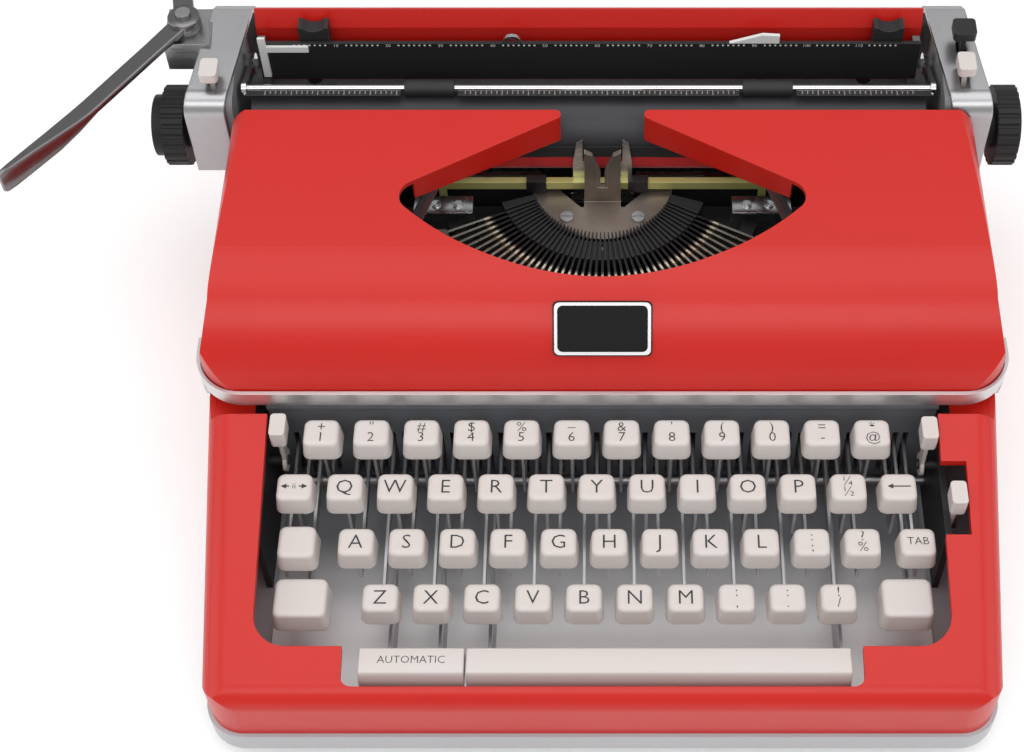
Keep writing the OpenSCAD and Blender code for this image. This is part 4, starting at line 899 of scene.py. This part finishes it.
bail_chrome = steel("bail_chrome", (0.6, 0.6, 0.61), 0.14, brush=(20.0, 500.0, 500.0), tarnish=0.88)
dress_faces("paper_bail", (bail_chrome, scale_black), bail_finish)
dress(rubbery("roller_rubber", (0.02, 0.02, 0.021), 0.55), "bail_rollers")
tick_grey = printing_ink("tick_grey", (0.16, 0.155, 0.14), (0.32, 0.31, 0.28), 400.0, 0.5)
bail_marks = bmesh.new()
for step in range(TICKS):
    tick = TICK_START + Vector((step * SPACE, 0, 0))
    if all(abs(tick.x - CARRIAGE_X - roller) > ROLLER_ROOM for roller in ROLLER_X):
        length = LONG_TICK_L if step % 5 == 0 else TICK_L
        printed_bar(bail_marks, tick - Vector((0, length, 0)), tick, TICK_W)
piece("bail_marks", bail_marks, "bail", [tick_grey])

# Carriage levers and stops: black margin stops and paper release lever, and the cream pads of the line space
# and carriage release levers, which stand up through slots in the end covers.
dress(painted("margin_stop_black", (0.02, 0.02, 0.021), (0.15, 0.15, 0.15), 0.45), "left_margin_stop",
      "right_margin_stop", "paper_release_lever")
dress(key_cream, "line_space_lever", "carriage_release_lever")

# Return lever: a steel strap from the stud on the left carriage end, its right edge turned down into a
# paddle. The typist pushes it to the right to turn the platen and run the carriage back.
STUD = Vector((-0.1681, 0.118, 0.124))
LEVER_ANGLE = math.atan2(-86, -56)
LEVER_SECTIONS = (
    # distance from the stud, left edge, right edge, top, depth of the turned-down right edge
    (0.0000, -0.0040, 0.0040, 0.0045, 0.0030), (0.0200, -0.0036, 0.0036, 0.0045, 0.0030),
    (0.0560, -0.0036, 0.0036, 0.0045, 0.0030), (0.0600, -0.0036, 0.0035, 0.0046, 0.0038),
    (0.0660, -0.0036, 0.0030, 0.0049, 0.0056), (0.0760, -0.0035, 0.0018, 0.0056, 0.0082),
    (0.0880, -0.0034, 0.0004, 0.0066, 0.0098), (0.0985, -0.0033, -0.0006, 0.0074, 0.0108),
    (0.1020, -0.0032, -0.0009, 0.0074, 0.0104), (0.1030, -0.0031, -0.0012, 0.0070, 0.0092))
SHEET = 0.0021
LEVER_EDGE = 0.0004
FOLD_IN = 0.0005
FOLD_DOWN = 0.0006
TAIL_ANGLE = 100
TAIL_OUTLINE = ((0.0, -0.004), (0.015, -0.004), (0.017, -0.002), (0.017, 0.002), (0.015, 0.004), (0.0, 0.004))
TAIL_Z = (0.0015, 0.0045)
HUB_PROFILE = ((0.0031, 0.0), (0.0062, 0.0), (0.0065, 0.0004), (0.0065, 0.0056), (0.0061, 0.006),
               (0.0031, 0.006))
HUB_SIDES = 28
strap = bmesh.new()
loops = []
for distance, left, right, top, depth in LEVER_SECTIONS:
    wall = min(SHEET, (right - left) * 0.8)
    low = top - depth
    corners = ((left, top - LEVER_EDGE), (left + LEVER_EDGE, top), (right - FOLD_IN, top),
               (right, top - FOLD_DOWN), (right, low + LEVER_EDGE), (right - LEVER_EDGE, low),
               (right - wall, low), (right - wall, top - SHEET), (left, top - SHEET))
    loops.append([strap.verts.new((distance, across, height)) for across, height in corners])
loft(strap, loops)
bmesh.ops.rotate(strap, matrix=Matrix.Rotation(LEVER_ANGLE, 3, "Z"), verts=strap.verts[:])
tail_turn = Matrix.Rotation(math.radians(TAIL_ANGLE), 3, "Z")
loft(strap, [[strap.verts.new(tail_turn @ Vector((x, y, z))) for x, y in TAIL_OUTLINE] for z in TAIL_Z])
closed_loft(strap, [[strap.verts.new((x, y, z)) for x, y in arc((0, 0), radius, 0, 360, HUB_SIDES)[:-1]]
                    for radius, z in HUB_PROFILE])
bmesh.ops.translate(strap, vec=STUD, verts=strap.verts[:])
lever_grey = steel("return_lever_steel", (0.24, 0.235, 0.24), 0.3, brush=(60.0, 60.0, 60.0), tarnish=0.75)
piece("return_strap", strap, "return_lever", [lever_grey], ["return_lever"], sharp=50)

# Studio: a pale seamless paper floor, which keeps the typewriter's soft shadow, and broad soft lights from
# above, in front and both sides.
RAYS_SEEN = ("Is Camera Ray", "Is Glossy Ray", "Is Transmission Ray")
floor_mesh = bmesh.new()
bmesh.ops.create_grid(floor_mesh, x_segments=2, y_segments=2, size=3.0)
floor_data = bpy.data.meshes.new("floor")
floor_mesh.to_mesh(floor_data)
floor_mesh.free()
floor = bpy.data.objects.new("floor", floor_data)
scene.collection.objects.link(floor)
paper = Finish("floor_paper", Specular_IOR_Level=0.1, Emission_Strength=0.15)
fibre = paper.noise(30.0, 3.0)
seen = sum(paper.node("ShaderNodeLightPath", out=kind) for kind in RAYS_SEEN)
paper.feed(Base_Color=paper.mix(fibre, rgba(0.9, 0.9, 0.9), rgba(0.93, 0.93, 0.93)),
           Roughness=0.9 + fibre * 0.05, Emission_Color=seen)
paper.relief(fibre, 0.02, 0.0002, radius=0.0001)
floor_data.materials.append(paper.material)


def area_light(name, place, aim, size, power):
    """Soft rectangular lamp that looks at a point."""
    light = bpy.data.lights.new(name, "AREA")
    light.shape = "RECTANGLE"
    light.size, light.size_y = size
    light.energy = power
    lamp = bpy.data.objects.new(name, light)
    lamp.location = place
    lamp.rotation_euler = (Vector(aim) - Vector(place)).to_track_quat("-Z", "Y").to_euler()
    scene.collection.objects.link(lamp)


area_light("overhead", (0.0, 0.1, 1.3), (0, 0, 0.05), (1.6, 1.0), 7.0)
area_light("front", (0.0, -0.8, 1.0), (0, 0, 0.05), (1.4, 0.5), 5.2)
for side, way in SIDES:
    area_light(side + "_side", (way * 1.1, -0.1, 0.6), (0, 0, 0.06), (0.6, 0.9), 2.5)
world = bpy.data.worlds.new("studio")
scene.world = world
world.use_nodes = True
sky = world.node_tree.nodes["Background"]
sky.inputs["Color"].default_value = rgba(1.0, 1.0, 1.0)
sky.inputs["Strength"].default_value = 0.5
